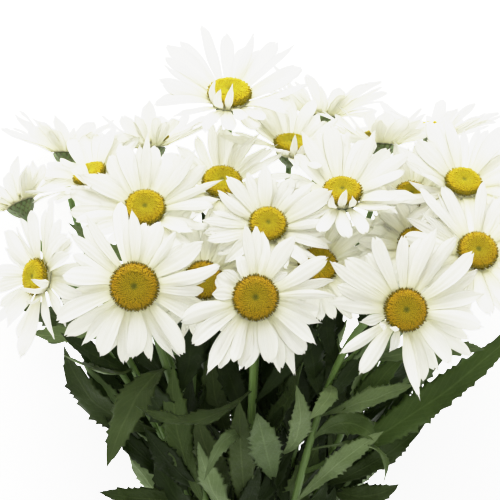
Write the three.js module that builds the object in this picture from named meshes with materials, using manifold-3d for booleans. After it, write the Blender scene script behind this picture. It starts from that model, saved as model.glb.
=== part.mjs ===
// A bunch of white daisies with toothed leaves, cut, tied and laid on its back on a flat surface.
//
// Millimetres, +Z up. The origin lies on the surface, under the middle of the tie. The stems run
// from their cut ends (-Y) through the tie to the heads (+Y), and the front of the bunch, the side
// that is looked at, faces +Z.

import * as THREE from 'three';
import { mergeVertices } from 'three/addons/utils/BufferGeometryUtils.js';
import Module from 'manifold-3d';

const wasm = await Module();
wasm.setup();

// ---------------------------------------------------------------- driving dimensions

const DEGREE = Math.PI / 180;
const GAP = 0.35; // clear space kept between two pieces
const LEAST_GAP = 0.3; // and the least that a bent petal or leaf may leave

const STEM_RADIUS = 2.2;
const SIDE_STEM_RADIUS = 1.8;
const STEM_SIDES = 6;
const CUT_STEPS = 2; // rings along the cut length, the tied length and the rising length
const TIED_STEPS = 1;
const RISING_STEPS = 8;
const BRANCH_STEPS = 6;
const BUNDLE_PITCH = 5.1; // stem to stem, side by side in the tie
const BUNDLE_RISE = 4.6; // from one row of stems to the next
const TIE_WIDTH = 10;
const TIE_WALL = 1.4;
const TIE_CORNER = 4;
const TIE_ROUNDING = 2; // facets round a corner
const TIED_LENGTH = 16; // the stems run parallel this far, through the tie
const CUT_LENGTH = 88; // from the tie down to the cut ends
const CUT_UNEVEN = 9; // how far the cut ends differ
const CUT_SPREAD = 1.7; // how much wider the cut ends stand than the tied bundle
const CUT_RISE = 0.8; // how much higher each row's cut ends stand
const CUT_BENDS = [{ spread: 1.3, at: 0.6 }, { spread: 1, at: 0.2 }]; // between the cut end and the tie
const FAN_START = 78; // how far the stems keep on straight above the tie
const FAN_LEAN = 0.1; // how much of the way to its head each has then leant aside
const NECK = 48; // straight stretch of stem behind a head
const BRANCH_FROM = 0.42; // where a side stem leaves its main stem
const BRANCH_START = 35; // how far it keeps on straight there

const CORE_DEPTH = 3.4; // the ring that the petals grow from, one side of it for each petal
const CORE_SHARE = 0.93; // its radius, as a share of the disc's
const CALYX_DEPTH = 9;
const CALYX_RIM = 0.84; // its radius at the rim and halfway down, as shares of the disc's
const CALYX_MIDDLE = 0.64;
const DISC_SEGMENTS = 10;
const DISC_DIMPLE = 0.35; // height of the dimple in its middle, as a share of its radius

const PETAL_WIDTH = 9.6;
const PETAL_ROOT = 0.5; // half its width at the root and at the tip, as shares of the widest
const PETAL_TIP = 0.46;
const PETAL_WIDEST = 0.58; // how far along it is widest
const PETAL_TAPER = 2.2; // how late it narrows towards the tip
const PETAL_KEEL = 0.95; // thickness along the middle, which thins towards the tip by a share
const KEEL_THINS = 0.3;
const PETAL_STATIONS = [0.24, 0.68, 1];
const PETAL_CURL = 8; // degrees from its root to its tip
const PETAL_UNEVEN = { turn: 0.3, length: 0.28, lift: 10, curl: 34, twist: 56, width: 0.56, sway: 0.3 };
const UPPER_LAYER = { height: -1.1, length: 0.96, lift: 5 }; // its roots lie below the top of the core
const LOWER_LAYER = { height: -2.2, length: 1, lift: -4 };
const BLOOM_TURN = 11; // degrees that each bloom is turned on from the one before
const NEIGHBOUR_GAP = 0.12; // between two petals of one bloom
const FOLDED = { lift: 56, curl: -62, twist: 0 }; // a petal that folds over the disc, in degrees
const FOLDED_LENGTH = 0.6; // shares of a petal's length and width
const FOLDED_WIDTH = 0.54;
const SHORT_LENGTH = 0.42;

const LEAF_KEEL = 0.9;
const LEAF_FOLD = 0.22; // how far the edges stand above the midrib, as a share of the half width
const LARGE_LEAF = 13.5; // a wider leaf has one more tooth on each side
const LEAF_TEETH = 2;
const LEAF_TEETH_FROM = 0.24;
const LEAF_TEETH_TO = 0.92;
const LEAF_TOOTH = 0.13; // depth of a tooth, as a share of the half width
const LEAF_LEAN = 0.72; // how far along its pitch each tooth stands out
const LEAF_FOOT = 0.1;
const LEAF_STALK = 0.16; // its width at the stem, as a share
const LEAF_SKEW = 1.2; // how far towards the tip it is widest

// Leaves that the front doesn't single out follow a rule: so many up each stem, turning round it.
const FILLERS = 2;
const FILLER_FROM = 0.22; // where the first grows, along the rising stem
const FILLER_STEP = 0.17;
const FILLER_UNEVEN = 0.5; // how much of a step each grows further up
const FILLER_TURN = 180; // degrees from one to the next, and how unevenly
const FILLER_TURN_UNEVEN = 70;
const FILLER_LENGTH = { least: 63, more: 22 };
const FILLER_WIDTH = { least: 13.6, more: 5.1 };
const FILLER_ANGLE = 24; // degrees away from the stem
const FILLER_BOW = 1.5; // how much further its first half leans away
const FILLER_FACE = 1.1; // how strongly each turns its face to the front

// A petal or leaf that would cross another piece is bent clear: these bends are tried in turn.
const PETAL_BENDS = [0, -4, 4, -8, 8, -13, 13, -19, 19, -26, 26, -35, 35, -46, 46, 58]; // degrees
const PETAL_SHARES = [1, 0.86, 0.72, 0.58, 0.45]; // of its length
const BEND_CURL = 0.4; // how much a bend also curls the petal
const LEAF_BENDS = [
  [0, 0], [4, 4], [-4, -4], [0, 8], [8, 0], [8, 8], [-8, -8], [0, -8], [14, 14], [-14, -14],
  [10, -10], [-10, 10], [0, 18], [20, 20], [-20, -20], [18, 0], [0, -18], [28, 28], [-28, -28],
]; // millimetres along its face, at the middle and at the tip
const LEAF_SHARES = [1, 0.8, 0.62];

// Each bloom: where the middle of its disc sits, which way it looks, how far its petals reach, the
// radius of its disc, its petals, and how far they rise from its plane. The petals nearest to the
// directions in `over` fold over the disc, and those in `short` are half grown; directions are
// degrees round the bloom, 90 being +Y.
const BLOOMS = {
  front_left: { at: [-63, 240, 150], look: [-0.03, 0.05, 1], reach: 46, disc: 13, petals: 19, rise: -2 },
  front_mid: { at: [3, 234, 152], look: [0, 0.08, 1], reach: 43, disc: 12.2, petals: 19, rise: 0,
    short: [43, 117, 136, 155, 174] },
  front_right: { at: [85, 227, 146], look: [0.12, 0.1, 1], reach: 46, disc: 11.6, petals: 18, rise: 2,
    over: [213, 233], short: [193, 253] },
  left_low: { at: [-119, 245, 122], look: [-0.72, 0.1, 0.69], reach: 41, disc: 9.8, petals: 15, rise: 10,
    over: [286, 310, 335] },
  mid_a: { at: [-26, 243, 120], look: [0.05, 0.2, 0.97], reach: 37, disc: 10.6, petals: 14, rise: 6 },
  mid_b: { at: [38, 251, 118], look: [0.1, 0.4, 0.9], reach: 38, disc: 10.6, petals: 15, rise: 12 },
  right_mid: { at: [94, 263, 108], look: [0, 0.45, 0.9], reach: 36, disc: 10, petals: 14, rise: 16,
    over: [278] },
  right_low: { at: [127, 259, 122], look: [0.12, 0.42, 0.9], reach: 44, disc: 11, petals: 16, rise: 12,
    over: [232] },
  mid_c: { at: [10, 274, 120], look: [0.05, 0.45, 0.9], reach: 37, disc: 10.2, petals: 14, rise: 16,
    over: [262] },
  left_mid: { at: [-59, 283, 114], look: [0, 0.5, 0.86], reach: 42, disc: 11.2, petals: 17, rise: 20 },
  centre: { at: [52, 292, 112], look: [0, 0.72, 0.7], reach: 43, disc: 10.8, petals: 17, rise: 24,
    over: [248, 272, 294] },
  right_c: { at: [93, 291, 86], look: [0, 0.66, 0.75], reach: 35, disc: 9.4, petals: 12, rise: 24 },
  right_up: { at: [122, 298, 94], look: [0.1, 0.68, 0.73], reach: 43, disc: 10.2, petals: 16, rise: 26 },
  up_c: { at: [-16, 298, 94], look: [0.05, 0.62, 0.78], reach: 42, disc: 11, petals: 16, rise: 22 },
  left_c: { at: [-92, 303, 84], look: [-0.35, 0.78, 0.52], reach: 39, disc: 9.6, petals: 14, rise: 30 },
  left_up: { at: [-134, 290, 84], look: [-0.42, 0.9, -0.08], reach: 41, disc: 10, petals: 14, rise: 34 },
  far_left: { at: [-110, 322, 31.35], look: [0.02, 0.99, -0.04], reach: 40, disc: 9.8, petals: 13, rise: 42 },
  up_d: { at: [24, 320, 80], look: [0.1, 0.84, 0.53], reach: 40, disc: 10, petals: 15, rise: 30,
    over: [262, 290] },
  top: { at: [-12, 350, 74], look: [0.03, 0.76, 0.65], reach: 49, disc: 12.4, petals: 19, rise: 27,
    over: [227, 248, 266] },
  back_a: { at: [-58, 324, 60], look: [-0.05, 0.99, 0.02], reach: 39, disc: 9.8, petals: 13, rise: 38 },
  back_b: { at: [44, 344, 29.74], look: [0.1, 0.99, -0.06], reach: 40, disc: 9.8, petals: 13, rise: 42 },
  back_c: { at: [78, 326, 60], look: [0.05, 0.99, 0.02], reach: 41, disc: 9.8, petals: 13, rise: 40 },
  back_d: { at: [112, 332, 31.84], look: [0.1, 0.98, -0.05], reach: 40, disc: 9.6, petals: 13, rise: 42 },
};

// Each stem: its column and row in the tied bundle, and the heads that it carries. The second head
// sits on a side stem. An arched stem is drawn towards two points of its own on the way to its head.
const STEMS = {
  front_left: { column: -1.5, row: 2, heads: ['front_left', 'mid_a'] },
  front_mid: { column: -0.5, row: 2, heads: ['front_mid', 'mid_c'] },
  mid_b: { column: 0.5, row: 2, heads: ['mid_b', 'up_d'] },
  front_right: { column: 1.5, row: 2, heads: ['front_right', 'right_low'],
    arch: [[40, 212, 82], [64, 228, 104]] },
  left_low: { column: -2, row: 1, heads: ['left_low', 'left_up'] },
  left_mid: { column: -1, row: 1, heads: ['left_mid', 'left_c'] },
  up_c: { column: 0, row: 1, heads: ['up_c'] },
  centre: { column: 1, row: 1, heads: ['centre'] },
  right_mid: { column: 2, row: 1, heads: ['right_mid', 'right_c'] },
  far_left: { column: -1.5, row: 0, heads: ['far_left'] },
  top: { column: -0.5, row: 0, heads: ['top', 'back_a'] },
  back_b: { column: 0.5, row: 0, heads: ['back_b', 'back_c'] },
  right_up: { column: 1.5, row: 0, heads: ['right_up', 'back_d'] },
};

/** A leaf: its stem and how far up, the point that bows it, its tip, which way it faces, its width. */
function leaf(stem, from, bow, tip, face, width) {
  return { stem, from, bow, tip, face, width };
}

const LEAVES = [
  leaf('front_left', 0.65, [-64, 188, 122], [-81, 137, 108], [-0.3, 0.2, 0.93], 19),
  leaf('left_low', 0.5, [-95, 158, 72], [-107, 205, 88], [-0.4, -0.1, 0.9], 18),
  leaf('left_low', 0.64, [-80, 184, 92], [-106, 201, 104], [0.3, 0.85, 0.4], 11),
  leaf('front_left', 0.34, [-48, 150, 72], [-44, 194, 92], [0.1, -0.1, 1], 17),
  leaf('front_mid', 0.62, [-30, 152, 128], [-64, 173, 120], [0, 0.75, 0.66], 12),
  leaf('front_mid', 0.5, [-14, 166, 108], [-26, 129, 104], [0.6, 0.2, 0.75], 9),
  leaf('left_mid', 0.34, [-60, 112, 62], [-88, 119, 72], [0, 0.3, 0.95], 13),
  leaf('left_low', 0.36, [-62, 112, 50], [-84, 108, 56], [-0.2, 0.5, 0.85], 12),
  leaf('left_low', 0.3, [-56, 126, 62], [-64, 166, 74], [-0.3, 0, 1], 18),
  leaf('up_c', 0.28, [-26, 130, 54], [-34, 166, 68], [0.2, 0, 1], 17),
  leaf('centre', 0.24, [34, 118, 60], [46, 148, 80], [0.3, 0.1, 1], 17),
  leaf('front_mid', 0.3, [-6, 140, 78], [-6, 174, 96], [-0.2, 0, 1], 16),
  leaf('mid_b', 0.4, [9, 146, 96], [4, 168, 108], [0.1, -0.2, 1], 18),
  leaf('mid_b', 0.46, [34, 152, 100], [26, 184, 112], [0.2, 0, 1], 13),
  leaf('front_right', 0.2, [50, 140, 92], [76, 157, 102], [0, 0.4, 0.9], 12),
  leaf('front_right', 0.44, [50, 180, 112], [33, 164, 112], [0.1, 0.4, 0.9], 10),
  leaf('front_right', 0.36, [70, 176, 112], [92, 184, 110], [0, 0.5, 0.85], 14),
  leaf('front_right', 0.31, [58, 172, 92], [73, 150, 100], [0.3, 0, 0.95], 15),
  leaf('right_mid', 0.5, [66, 178, 84], [90, 202, 96], [-0.2, 0.3, 0.9], 15),
  leaf('front_right', 0.25, [98, 158, 82], [164, 224, 92], [-0.3, 0.3, 0.9], 20),
  leaf('right_mid', 0.38, [76, 134, 66], [101, 161, 84], [-0.2, 0.2, 1], 13),
  leaf('front_right', 0.29, [84, 160, 108], [76, 128, 104], [0.7, 0.1, 0.7], 7),
  leaf('front_right', 0.5, [112, 206, 104], [132, 204, 112], [0, 0.4, 0.9], 11),
  leaf('right_up', 0.36, [68, 106, 38], [88, 122, 56], [-0.2, 0.1, 1], 14),
  leaf('left_mid', 0.8, [-88, 262, 74], [-106, 276, 70], [0, 0.6, 0.8], 10),
  leaf('left_low', 0.76, [-108, 206, 92], [-128, 214, 96], [0, 0.5, 0.85], 13),
  leaf('up_c', 0.42, [-24, 168, 62], [-22, 204, 78], [-0.2, 0, 1], 15),
  leaf('centre', 0.42, [26, 172, 58], [20, 206, 76], [0.1, 0, 1], 16),
  leaf('right_mid', 0.46, [48, 178, 62], [48, 212, 76], [0.2, 0, 1], 15),
  leaf('far_left', 0.4, [-64, 150, 6], [-96, 196, 2.4], [0, 0, -1], 17),
  leaf('top', 0.42, [-18, 172, 6], [-34, 228, 4], [0, 0, -1], 17),
  leaf('back_b', 0.42, [44, 158, 6], [78, 212, 2.4], [0, 0, -1], 18),
  leaf('right_up', 0.5, [92, 172, 22], [128, 214, 18], [0.2, 0, -1], 16),
  leaf('far_left', 0.6, [-110, 214, 34], [-142, 232, 40], [-0.3, -0.2, 0.9], 15),
];

const COLOURS = {
  petal: 0xf5f5ea,
  disc: 0xc8920e,
  green: 0x47612f,
  tie: 0xb98f5c,
};

// ---------------------------------------------------------------- solids

/** A closed solid from points and triangles, turned the right way out. */
function solidOf(points, triangles) {
  let volume = 0;
  for (const [a, b, c] of triangles) {
    volume += points[a].dot(new THREE.Vector3().crossVectors(points[b], points[c]));
  }
  const outward = volume < 0 ? triangles.map(([a, b, c]) => [a, c, b]) : triangles;
  return new wasm.Manifold(new wasm.Mesh({
    numProp: 3,
    vertProperties: new Float32Array(points.flatMap((p) => p.toArray())),
    triVerts: new Uint32Array(outward.flat()),
  }));
}

/** A closed solid from a three.js geometry, with its doubled vertices merged. */
function solidFromGeometry(source) {
  const bare = new THREE.BufferGeometry();
  bare.setAttribute('position', source.attributes.position.clone());
  if (source.index) bare.setIndex(source.index.clone());
  const merged = mergeVertices(bare, 1e-4);
  const position = merged.attributes.position;
  const points = [];
  for (let i = 0; i < position.count; i += 1) {
    points.push(new THREE.Vector3().fromBufferAttribute(position, i));
  }
  const triangles = [];
  for (let i = 0; i < merged.index.count; i += 3) {
    const [a, b, c] = [0, 1, 2].map((k) => merged.index.getX(i + k));
    if (a !== b && b !== c && c !== a) triangles.push([a, b, c]);
  }
  return solidOf(points, triangles);
}

/**
 * A skin over rings of points, closed at both ends; a last ring of one point makes a tip. Each
 * four-sided gap is split from the blade's edge, which is every second point, so that the upper and
 * lower faces of a thin blade are split alike.
 */
function loft(rings) {
  const points = rings.flat();
  const triangles = [];
  const starts = [];
  rings.reduce((start, ring) => { starts.push(start); return start + ring.length; }, 0);
  for (let i = 0; i + 1 < rings.length; i += 1) {
    const sides = rings[i].length;
    const [near, far] = [starts[i], starts[i + 1]];
    for (let j = 0; j < sides; j += 1) {
      const [a, b] = [near + j, near + ((j + 1) % sides)];
      if (rings[i + 1].length === 1) {
        triangles.push([a, b, far]);
        continue;
      }
      const [c, d] = [far + j, far + ((j + 1) % sides)];
      if (j % 2 === 0) triangles.push([a, b, d], [a, d, c]);
      else triangles.push([b, d, c], [b, c, a]);
    }
  }
  for (let j = 1; j + 1 < rings[0].length; j += 1) triangles.push([0, j + 1, j]);
  const end = rings.length - 1;
  for (let j = 1; j + 1 < rings[end].length; j += 1) {
    triangles.push([starts[end], starts[end] + j, starts[end] + j + 1]);
  }
  return solidOf(points, triangles);
}

/** A seeded draw of even numbers from 0 to 1. */
function randomFrom(seed) {
  let state = seed * 7919;
  const draw = () => {
    state = (state * 1664525 + 1013904223) % 4294967296;
    return state / 4294967296;
  };
  for (let i = 0; i < 4; i += 1) draw();
  return draw;
}

const vector = (numbers) => new THREE.Vector3(...numbers);

// ---------------------------------------------------------------- blooms

/** The place of a bloom: Z along its look, and Y as near to +Y as that allows. */
function bloomPlace(bloom) {
  const z = vector(bloom.look).normalize();
  const x = new THREE.Vector3(1, 0, 0).addScaledVector(z, -z.x).normalize();
  const y = new THREE.Vector3().crossVectors(z, x);
  return new THREE.Matrix4().makeBasis(x, y, z).setPosition(vector(bloom.at));
}

/** The domed disc, its florets as a relief of ridges that shift from ring to ring. */
function discSolid(bloom) {
  const r = bloom.disc;
  const levels = [
    { radius: 0.92, height: 0, ridge: 0 },
    { radius: 1.0, height: 0.17, ridge: 0.05 },
    { radius: 0.74, height: 0.37, ridge: -0.045 },
    { radius: 0.36, height: 0.42, ridge: 0.04 },
  ];
  const rings = levels.map(({ radius, height, ridge }) => Array.from({ length: DISC_SEGMENTS }, (_, i) => {
    const angle = (i / DISC_SEGMENTS) * 2 * Math.PI;
    const out = r * (radius + (i % 2 ? ridge : -ridge));
    return new THREE.Vector3(out * Math.cos(angle), out * Math.sin(angle), GAP + r * height);
  }));
  rings.push([new THREE.Vector3(0, 0, GAP + DISC_DIMPLE * r)]);
  const place = bloomPlace(bloom);
  return loft(rings.map((ring) => ring.map((p) => p.applyMatrix4(place))));
}

/** The petals of a bloom before any is bent clear: where each points, and its own shape. */
function petalsOf(bloom, seed) {
  const draw = randomFrom(seed);
  const nearest = (petal, directions = []) => directions.some(
    (angle) => Math.abs(((petal.turn - angle + 900) % 360) - 180) < 180 / bloom.petals,
  );
  return Array.from({ length: bloom.petals }, (_, i) => {
    const layer = i % 2 === 0 ? UPPER_LAYER : LOWER_LAYER;
    const uneven = (key) => PETAL_UNEVEN[key] * (draw() - 0.5);
    const petal = {
      facet: i,
      turn: (i + uneven('turn')) * (360 / bloom.petals) + BLOOM_TURN * seed,
      height: layer.height,
      length: bloom.reach * (1 + uneven('length')) * layer.length - bloom.disc,
      lift: bloom.rise + uneven('lift') + layer.lift,
      curl: PETAL_CURL + uneven('curl'),
      twist: uneven('twist'),
      width: PETAL_WIDTH * (1 + uneven('width')),
      sway: uneven('sway'),
    };
    if (nearest(petal, bloom.over)) {
      return { ...petal, ...FOLDED, length: FOLDED_LENGTH * petal.length, width: FOLDED_WIDTH * petal.width };
    }
    if (nearest(petal, bloom.short)) return { ...petal, length: SHORT_LENGTH * petal.length };
    return petal;
  });
}

/** Half the width of a petal, as a share, from its root (0) to its narrow tip (1). */
function petalShare(s) {
  const swell = THREE.MathUtils.smoothstep(s, 0, PETAL_WIDEST);
  const past = Math.max(0, (s - PETAL_WIDEST) / (1 - PETAL_WIDEST));
  return (PETAL_ROOT + (1 - PETAL_ROOT) * swell) * (1 - (1 - PETAL_TIP) * past ** PETAL_TAPER);
}

/**
 * The rings of a petal, three points each: it leaves the core at a lift, curls along an arc and sways to
 * one side.
 */
function petalRings(bloom, petal, bend, share) {
  const place = bloomPlace(bloom);
  const out = new THREE.Vector3(Math.cos(petal.turn * DEGREE), Math.sin(petal.turn * DEGREE), 0);
  const across = new THREE.Vector3(-out.y, out.x, 0);
  const up = new THREE.Vector3(0, 0, 1);
  const lift = (petal.lift + bend) * DEGREE;
  const curl = (petal.curl + BEND_CURL * bend) * DEGREE;
  const length = petal.length * share;
  return PETAL_STATIONS.map((s) => {
    const angle = lift - curl * s;
    const straight = Math.abs(curl) < 1e-6;
    const run = straight ? s * Math.cos(lift) : (Math.sin(lift) - Math.sin(angle)) / curl;
    const rise = straight ? s * Math.sin(lift) : (Math.cos(angle) - Math.cos(lift)) / curl;
    const centre = out.clone().multiplyScalar(CORE_SHARE * bloom.disc + length * run)
      .addScaledVector(up, petal.height + length * rise)
      .addScaledVector(across, length * petal.sway * s ** 2);
    const normal = up.clone().multiplyScalar(Math.cos(angle)).addScaledVector(out, -Math.sin(angle));
    const turned = petal.twist * DEGREE * s;
    const side = across.clone().multiplyScalar(Math.cos(turned)).addScaledVector(normal, Math.sin(turned));
    const face = normal.clone().multiplyScalar(Math.cos(turned)).addScaledVector(across, -Math.sin(turned));
    const half = 0.5 * petal.width * petalShare(s);
    return [
      centre.clone().addScaledVector(side, half),
      centre.clone().addScaledVector(side, -half),
      centre.clone().addScaledVector(face, -PETAL_KEEL * (1 - KEEL_THINS * s)),
    ].map((p) => p.applyMatrix4(place));
  });
}

/** The corners of the core, above and below, between one petal's facet and the next. */
function coreCorners(bloom, seed) {
  const place = bloomPlace(bloom);
  const radius = CORE_SHARE * bloom.disc;
  const corners = (height) => Array.from({ length: bloom.petals }, (_, i) => {
    const angle = ((i - 0.5) * (360 / bloom.petals) + BLOOM_TURN * seed) * DEGREE;
    return new THREE.Vector3(radius * Math.cos(angle), radius * Math.sin(angle), height).applyMatrix4(place);
  });
  return { top: corners(0), bottom: corners(-CORE_DEPTH) };
}

/**
 * The petals of a bloom as one body: a flat core with a facet for each petal, and each petal drawn
 * out of its facet's four corners, through its rings. A facet whose petal is missing is closed.
 */
function petalBody(bloom, seed, petals) {
  const { top, bottom } = coreCorners(bloom, seed);
  const count = bloom.petals;
  const points = [...top, ...bottom];
  const triangles = [];
  for (let i = 1; i + 1 < count; i += 1) {
    triangles.push([0, i, i + 1], [count, count + i + 1, count + i]);
  }
  for (let facet = 0; facet < count; facet += 1) {
    const next = (facet + 1) % count;
    const [topRight, topLeft, lowRight, lowLeft] = [facet, next, count + facet, count + next];
    const rings = petals[facet];
    if (!rings) {
      triangles.push([topRight, lowRight, lowLeft], [topRight, lowLeft, topLeft]);
      continue;
    }
    const base = points.length;
    rings.forEach((ring) => points.push(...ring));
    const [left, right, keel] = [base, base + 1, base + 2];
    triangles.push([topLeft, topRight, right], [topLeft, right, left]);
    triangles.push([topRight, lowRight, keel], [topRight, keel, right]);
    triangles.push([lowLeft, topLeft, left], [lowLeft, left, keel], [lowRight, lowLeft, keel]);
    for (let i = 0; i + 1 < rings.length; i += 1) {
      const [l, r, k] = [base + 3 * i, base + 3 * i + 1, base + 3 * i + 2];
      triangles.push([l, r, r + 3], [l, r + 3, l + 3]);
      triangles.push([r, k, k + 3], [r, k + 3, r + 3], [l, l + 3, k + 3], [l, k + 3, k]);
    }
    const tip = base + 3 * (rings.length - 1);
    triangles.push([tip, tip + 1, tip + 2]);
  }
  return solidOf(points, triangles);
}

// ---------------------------------------------------------------- stems, leaves, tie

/** A cubic curve from a stem's place in the tie, or from its parent, to the back of a head. */
function risingCurve(start, onward, bloom, arch) {
  const look = vector(bloom.look).normalize();
  const end = vector(bloom.at).addScaledVector(look, -CORE_DEPTH - GAP - CALYX_DEPTH);
  if (arch) return new THREE.CubicBezierCurve3(start, ...arch.map(vector), end);
  const neck = end.clone().addScaledVector(look, -NECK);
  return new THREE.CubicBezierCurve3(start, start.clone().add(onward), neck, end);
}

/** The three curves of a main stem, and the curves of its side stems. */
function stemCurves(name) {
  const { column, row, heads, arch } = STEMS[name];
  const x = column * BUNDLE_PITCH;
  const z = TIE_WALL + GAP + STEM_RADIUS + row * BUNDLE_RISE;
  const half = 0.5 * TIED_LENGTH;
  const cut = -CUT_LENGTH - CUT_UNEVEN * Math.sin(7 * column + 5 * row);
  const tied = new THREE.LineCurve3(new THREE.Vector3(x, -half, z), new THREE.Vector3(x, half, z));
  const lower = new THREE.CubicBezierCurve3(
    new THREE.Vector3(CUT_SPREAD * x, cut, z + CUT_RISE * row),
    ...CUT_BENDS.map(({ spread, at }) => new THREE.Vector3(spread * x, at * cut - half, z)),
    tied.v1,
  );
  const first = BLOOMS[heads[0]];
  const onward = new THREE.Vector3(FAN_LEAN * first.at[0], FAN_START, FAN_LEAN * first.at[2]);
  const rising = risingCurve(tied.v2, onward, first, arch);
  const branches = heads.slice(1).map((head) => {
    const start = rising.getPoint(BRANCH_FROM);
    const way = rising.getTangent(BRANCH_FROM).multiplyScalar(BRANCH_START);
    return risingCurve(start, way, BLOOMS[head]);
  });
  return { lower, tied, rising, branches };
}

/** A ring of points square to a direction, its first point turned towards +X. */
function ringRound(centre, direction, radius) {
  const u = new THREE.Vector3(1, 0, 0).addScaledVector(direction, -direction.x).normalize();
  const v = new THREE.Vector3().crossVectors(direction, u);
  return Array.from({ length: STEM_SIDES }, (_, i) => {
    const angle = (i / STEM_SIDES) * 2 * Math.PI;
    return centre.clone()
      .addScaledVector(u, radius * Math.cos(angle))
      .addScaledVector(v, radius * Math.sin(angle));
  });
}

/** Rings along a curve, without the first where it continues another. */
function ringsAlong(curve, steps, radius, from = 0) {
  return Array.from({ length: steps + 1 - from }, (_, i) => {
    const t = (i + from) / steps;
    return ringRound(curve.getPoint(t), curve.getTangent(t), radius);
  });
}

/** The rings of the green cup that holds the back of a head. */
function calyxRings(bloom) {
  const look = vector(bloom.look).normalize();
  const at = (depth) => vector(bloom.at).addScaledVector(look, -depth);
  const top = CORE_DEPTH + GAP;
  return [
    ringRound(at(top + 0.5 * CALYX_DEPTH), look, CALYX_MIDDLE * bloom.disc),
    ringRound(at(top), look, CALYX_RIM * bloom.disc),
  ];
}

function stemSolid(name) {
  const { lower, tied, rising, branches } = stemCurves(name);
  const [first, ...others] = STEMS[name].heads.map((head) => BLOOMS[head]);
  const main = loft([
    ...ringsAlong(lower, CUT_STEPS, STEM_RADIUS),
    ...ringsAlong(tied, TIED_STEPS, STEM_RADIUS, 1),
    ...ringsAlong(rising, RISING_STEPS, STEM_RADIUS, 1),
    ...calyxRings(first),
  ]);
  return branches.reduce((joined, branch, i) => joined.add(loft([
    ...ringsAlong(branch, BRANCH_STEPS, SIDE_STEM_RADIUS),
    ...calyxRings(others[i]),
  ])), main);
}

/** Half the width of a leaf, as a share, from its foot (0) to its tip (1). */
function leafShare(s) {
  return Math.max(LEAF_STALK * (1 - s), Math.sin(180 * DEGREE * s ** LEAF_SKEW));
}

/** The stations of a leaf, each with the depth of tooth there: teeth lean towards the tip. */
function leafStations(leaf) {
  const teeth = LEAF_TEETH + (leaf.width > LARGE_LEAF ? 1 : 0);
  const pitch = (LEAF_TEETH_TO - LEAF_TEETH_FROM) / teeth;
  const stations = [{ s: 0, tooth: 0 }, { s: LEAF_FOOT, tooth: 0 }];
  for (let i = 0; i < teeth; i += 1) {
    stations.push({ s: LEAF_TEETH_FROM + i * pitch, tooth: -LEAF_TOOTH });
    stations.push({ s: LEAF_TEETH_FROM + (i + LEAF_LEAN) * pitch, tooth: LEAF_TOOTH });
  }
  return stations;
}

/** The rings of a leaf from its stem, bowed towards a point, folded a little along its midrib. */
function leafRings(leaf, [bowBend, tipBend], share) {
  const face = vector(leaf.face).normalize();
  const foot = stemCurves(leaf.stem).rising.getPoint(leaf.from);
  const bow = vector(leaf.bow).addScaledVector(face, bowBend);
  const tip = vector(leaf.tip).addScaledVector(face, tipBend);
  const end = new THREE.QuadraticBezierCurve3(foot, bow, tip).getPoint(share);
  const line = new THREE.QuadraticBezierCurve3(foot, foot.clone().lerp(bow, share), end);
  const rings = leafStations(leaf).map(({ s, tooth }) => {
    const centre = line.getPoint(s);
    const side = new THREE.Vector3().crossVectors(face, line.getTangent(s)).normalize();
    const normal = new THREE.Vector3().crossVectors(line.getTangent(s), side).normalize();
    const half = 0.5 * leaf.width * leafShare(s) * (1 + tooth);
    const edge = (way) => centre.clone()
      .addScaledVector(side, way * half)
      .addScaledVector(normal, LEAF_FOLD * half);
    return [edge(1), centre.clone(), edge(-1), centre.clone().addScaledVector(normal, -LEAF_KEEL)];
  });
  return [...rings, [line.getPoint(1)]];
}

/** The leaves that follow the rule, in the same form as the listed ones. */
function fillerLeaves() {
  return Object.keys(STEMS).flatMap((stem, index) => {
    const draw = randomFrom(100 + index);
    const { rising } = stemCurves(stem);
    return Array.from({ length: FILLERS }, (_, k) => {
      const from = FILLER_FROM + FILLER_STEP * (k + FILLER_UNEVEN * draw());
      const along = rising.getTangent(from);
      const turn = (FILLER_TURN * (index + k) + FILLER_TURN_UNEVEN * (draw() - 0.5)) * DEGREE;
      const u = new THREE.Vector3(1, 0, 0).addScaledVector(along, -along.x).normalize();
      const v = new THREE.Vector3().crossVectors(along, u);
      const out = u.multiplyScalar(Math.cos(turn)).addScaledVector(v, Math.sin(turn));
      const length = FILLER_LENGTH.least + FILLER_LENGTH.more * draw();
      const angle = FILLER_ANGLE * DEGREE;
      const foot = rising.getPoint(from);
      const reach = (share, lean) => foot.clone()
        .addScaledVector(along, share * length * Math.cos(lean))
        .addScaledVector(out, share * length * Math.sin(lean));
      const face = along.clone().multiplyScalar(Math.sin(angle)).addScaledVector(out, -Math.cos(angle));
      face.z += FILLER_FACE * (draw() < 0.5 ? -1 : 1);
      const [bow, tip] = [reach(0.5, FILLER_BOW * angle), reach(1, angle)];
      const width = FILLER_WIDTH.least + FILLER_WIDTH.more * draw();
      return leaf(stem, from, bow.toArray(), tip.toArray(), face.toArray(), width);
    });
  });
}

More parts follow.
